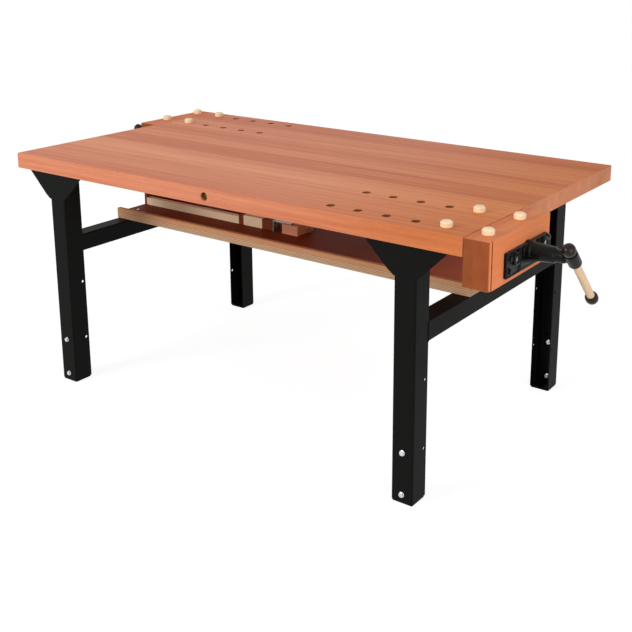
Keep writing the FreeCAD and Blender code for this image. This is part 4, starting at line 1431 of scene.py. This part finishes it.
@dataclass(frozen=True)
class Knob:
    """A turned knob with a socket: places along its axis from its mouth, each with its radius."""

    socket: float = 0.020
    bore: float = 0.0111
    rim: Point = (0.0008, 0.0111)
    lip: Point = (0.0002, 0.0126)
    brow: Point = (0.0010, 0.0146)
    belly: Point = (0.013, 0.018)
    shoulder: Point = (0.024, 0.0165)
    long: float = 0.033

    def section(self) -> list[Point]:
        """The knob's section.

        It runs from the bottom of the socket over the rounded lip, along the belly's arc and over the
        crown's arc, whose centre lies on the axis, to the pole.

        Returns:
            The section's points.
        """
        place, radius = self.shoulder
        centre = (self.long ** 2 - place ** 2 - radius ** 2) / (2.0 * (self.long - place))
        reach = self.long - centre
        half = math.atan2(radius, place - centre) / 2.0
        middle = (centre + reach * math.cos(half), reach * math.sin(half))
        pole = (self.long, 0.0)
        lip = arc_through(self.rim, self.lip, self.brow, 6)
        belly = arc_through(self.brow, self.belly, self.shoulder, 14)
        crown = arc_through(self.shoulder, middle, pole, 14)
        return [(self.socket, 0.0), (self.socket, self.bore), *lip, *belly[1:], *crown[1:-1], pole]


@dataclass
class EndVise:
    """One vise: jaw, cast plate, screw, guide rods, yoke, body, nut, handle and dogs.

    Its sizes are those of the right vise.  The left one is the same unit turned half a turn, so a place
    there has both its X and its Y reversed.
    """

    side: Side
    axis_y: float = -0.295
    axis_z: float = 0.736
    screw_radius: float = 0.012
    core_radius: float = 0.0093
    thread_start: float = 0.603
    thread_end: float = 0.928
    thread_depth: float = 0.0026
    pitch: float = 0.006
    plain_end: float = 1.0570
    neck_overlap: float = 0.002
    neck_ease: float = 0.0012
    facet: float = 0.0005
    head_start: float = 1.0577
    bar_at: float = 1.0770
    bar_tilts: tuple[float, float] = (44.5, 65.0)
    knob_reach: tuple[float, float] = (0.0419, 0.211)
    knob: Knob = Knob()

    def node(self, piece: str) -> str:
        """The name of one of this vise's nodes or bodies."""
        return f"{self.side.word}_{piece}"

    def spot(self, x: float, y: float, z: float) -> np.ndarray:
        """A place on the right vise, turned to this side."""
        return np.array([self.side.value * x, self.side.value * y, z])

    def bar_way(self) -> np.ndarray:
        """The way of the handle's long end: straight down, turned by the tilt towards +Y."""
        tilt = math.radians(self.bar_tilts[0] if self.side is Side.RIGHT else self.bar_tilts[1])
        return np.array([0.0, math.sin(tilt), -math.cos(tilt)])

    def screw(self) -> None:
        """Cuts the thread on the screw.

        The solid's merged copy keeps the head, and the points of its shaft, which lie on its radius but for
        a facet's depth, draw in to the core's radius.  The thread and the plain neck are laid round it.
        """
        piece = merged_copy(self.node("vise_screw"), self.node("screw_head"))
        mesh = piece.data
        points = np.empty(3 * len(mesh.vertices))
        mesh.vertices.foreach_get("co", points)
        points = points.reshape(-1, 3)
        axis = self.spot(0.0, self.axis_y, self.axis_z) * (0.0, 1.0, 1.0)
        offset = (points - axis) * (0.0, 1.0, 1.0)
        radius = np.linalg.norm(offset, axis=1)
        shaft = abs(points[:, 0]) < self.head_start + self.facet
        shaft &= abs(radius - self.screw_radius) < self.facet
        points[shaft] -= offset[shaft] * (1.0 - self.core_radius / radius[shaft])[:, None]
        mesh.vertices.foreach_set("co", points.ravel())
        tidy_mesh(mesh)
        body = self.node("screw")
        enter_piece(piece, Berth(body, BLACK_CASTING, "black_iron", (self.node("vise_screw"),)))
        turn = aimed((self.side.value, 0.0, 0.0))
        outer, ease, end = self.screw_radius, self.neck_ease, self.plain_end
        thread = threaded(self.thread_start, self.thread_end, outer, self.thread_depth, self.pitch)
        start = self.thread_end - self.neck_overlap
        neck = turned([(start, 0.0), (start, outer - ease), (start + ease, outer), (end, outer), (end, 0.0)])
        patches = [patch.moved(turn, axis) for patch in (thread, neck)]
        make_piece(self.node("screw_thread"), patches, Berth(body, OILED_STEEL, "steel"))

    def knobs(self) -> None:
        """Turns the two end knobs of the handle and sets them with their mouths towards the bar."""
        section, way = self.knob.section(), self.bar_way()
        centre = self.spot(self.bar_at, self.axis_y, self.axis_z)
        patches = []
        for sign, distance in zip((-1.0, 1.0), self.knob_reach):
            mouth = centre + sign * way * (distance - self.knob.long / 2)
            patches.append(turned(section, sides=56).moved(aimed(sign * way), mouth))
        solids = (self.node("vise_handle_knobs"),)
        berth = Berth(self.node("handle"), DARK_KNOB, "black_plastic", solids)
        make_piece(self.node("end_knobs"), patches, berth)

    def build(self) -> None:
        """Dresses the vise's solids, casts its iron and cuts its thread."""
        word = self.node
        dress(BEECH_JAW, word("vise_jaw"))
        sand_cast(word("vise_plate"), word("jaw"), grain=0.0014, rounds=8)
        sand_cast(word("vise_yoke"), word("jaw"), grain=0.0018, rounds=6)
        sand_cast(word("vise_body"), "bench", grain=0.0020, rounds=6)
        dress(BLACK_BOLT, word("vise_plate_bolts"))
        dress(BRIGHT_STEEL, word("vise_guide_rods"), word("vise_thrust_collar"))
        dress(ZINC, word("vise_yoke_nuts"))
        dress(GREY_NUT, word("vise_screw_nut"))
        dress(PALE_HANDLE, word("vise_handle_bar"))
        rows = [f"{place}_dog_{row}" for place in ("jaw", "top") for row in ("outer", "inner")]
        dress(PALE_DOG, *[word(row) for row in rows])
        self.screw()
        self.knobs()


# ---- studio ----


@dataclass
class Studio:
    """Floor, world, lamps and camera."""

    room_level: float = 0.58
    key_level: float = 0.52
    fill_level: float = 0.28
    floor_share: float = 0.24
    floor_glow: float = 0.86
    frame_pixels: float = 632.0
    sensor: float = 36.0
    focal_pixels: float = 1009.69
    centre_x: float = 342.17
    drop: float = 0.20
    eye: Triple = (2.01628, -2.62360, 1.52822)
    yaw: float = 0.6187
    pitch: float = 0.2456
    key_from: Triple = (-0.40, -0.90, 0.38)
    fill_from: Triple = (0.86, -0.46, 0.24)
    key_reach: float = 5.0
    fill_reach: float = 3.2
    lamp_size: float = 1.8
    lit_height: float = 0.5
    clip: Point = (0.1, 60.0)
    floor_reach: float = 30.0
    floor_grey: float = 0.72

    def camera(self) -> None:
        """Sets the camera.

        Its axes are the view's right, the view's up and the reverse of its forward direction.  The shifts
        are the offset of the frame's centre from the lens axis, as shares of the frame.
        """
        data = bpy.data.cameras.new("view")
        camera = linked("view", data)
        level = Vector((-math.sin(self.yaw), math.cos(self.yaw), 0.0))
        right = Vector((math.cos(self.yaw), math.sin(self.yaw), 0.0))
        upright = Vector((0.0, 0.0, 1.0))
        ahead = level * math.cos(self.pitch) - upright * math.sin(self.pitch)
        up = level * math.sin(self.pitch) + upright * math.cos(self.pitch)
        turn = Matrix((right, up, -ahead)).transposed()
        camera.matrix_world = Matrix.Translation(self.eye) @ turn.to_4x4()
        data.sensor_width = self.sensor
        data.lens = self.focal_pixels * self.sensor / self.frame_pixels
        data.shift_x = (self.frame_pixels / 2 - self.centre_x) / self.frame_pixels
        data.shift_y = -self.drop
        data.clip_start, data.clip_end = self.clip
        bpy.context.scene.camera = camera

    def lamp(self, name: str, towards: Triple, level: float, reach: float) -> None:
        """Hangs a square soft lamp that faces the bench.

        Its power is the level times pi squared times the distance squared, which lights a surface that
        faces it as brightly as a room of that level.

        Args:
            name: The lamp's name.
            towards: The direction from the bench to the lamp.
            level: How brightly it lights a white surface that faces it.
            reach: How far it hangs from the bench's middle, in metres.
        """
        data = bpy.data.lights.new(name, "AREA")
        data.size = self.lamp_size
        data.energy = level * math.pi ** 2 * reach ** 2
        lamp = linked(name, data)
        direction = Vector(towards).normalized()
        lamp.location = direction * reach + Vector((0.0, 0.0, self.lit_height))
        lamp.rotation_euler = direction.to_track_quat("Z", "Y").to_euler()

    def seen(self, graph: Graph) -> Socket:
        """1 for what the camera, gloss or glass sees, and 0 for light that bounces.

        Args:
            graph: Where the nodes go.

        Returns:
            The mask.
        """
        path = graph.add("LightPath").outputs
        straight = graph.maths("MAXIMUM", path["Is Camera Ray"], path["Is Glossy Ray"])
        return graph.maths("MAXIMUM", straight, path["Is Transmission Ray"])

    def room(self) -> None:
        """An even white room that shows as plain white behind the bench."""
        world = bpy.data.worlds.new("room")
        world.use_nodes = True
        graph = Graph(world.node_tree)
        background = world.node_tree.nodes["Background"]
        background.inputs["Color"].default_value = (1.0, 1.0, 1.0, 1.0)
        strength = graph.add("MapRange")
        graph.feed(strength.inputs["Value"], self.seen(graph))
        strength.inputs["To Min"].default_value = self.room_level
        strength.inputs["To Max"].default_value = 1.0
        graph.feed(background.inputs["Strength"], strength.outputs["Result"])
        bpy.context.scene.world = world

    def floor(self) -> None:
        """A pale floor: it bounces light as pale grey, and it shows as white with a soft shadow."""
        mesh = bpy.data.meshes.new("floor")
        reach = self.floor_reach
        corners = [(-reach, -reach, 0.0), (reach, -reach, 0.0), (reach, reach, 0.0), (-reach, reach, 0.0)]
        mesh.from_pydata(corners, [], [(0, 1, 2, 3)])
        floor = linked("floor", mesh)
        material = bpy.data.materials.new("floor")
        material.use_nodes = True
        tree = material.node_tree
        tree.nodes.clear()
        graph = Graph(tree)
        bounced = graph.fill(graph.add("BsdfDiffuse"), (*[self.floor_grey] * 3, 1.0))
        shadowed = graph.fill(graph.add("BsdfDiffuse"), (*[self.floor_share] * 3, 1.0))
        glow = graph.add("Emission")
        glow.inputs["Strength"].default_value = self.floor_glow
        shown = graph.fill(graph.add("AddShader"), shadowed.outputs[0], glow.outputs[0])
        chosen = graph.fill(graph.add("MixShader"), self.seen(graph), bounced.outputs[0], shown.outputs[0])
        graph.feed(graph.add("OutputMaterial").inputs["Surface"], chosen.outputs[0])
        mesh.materials.append(material)

    def build(self) -> None:
        """Sets up the whole studio."""
        bpy.context.scene.view_settings.view_transform = "Standard"
        self.camera()
        self.room()
        self.floor()
        self.lamp("key", self.key_from, self.key_level, self.key_reach)
        self.lamp("fill", self.fill_from, self.fill_level, self.fill_reach)


def main() -> None:
    """Builds the sub-assemblies in order."""
    logging.basicConfig(level=logging.INFO, format="%(message)s")
    assemblies = [Studio(), BenchTop(), SteelFrame(), LowerShelf(), EndVise(Side.RIGHT), EndVise(Side.LEFT)]
    for assembly in assemblies:
        assembly.build()
        LOG.info("finished %s", type(assembly).__name__)


if __name__ == "__main__":
    main()
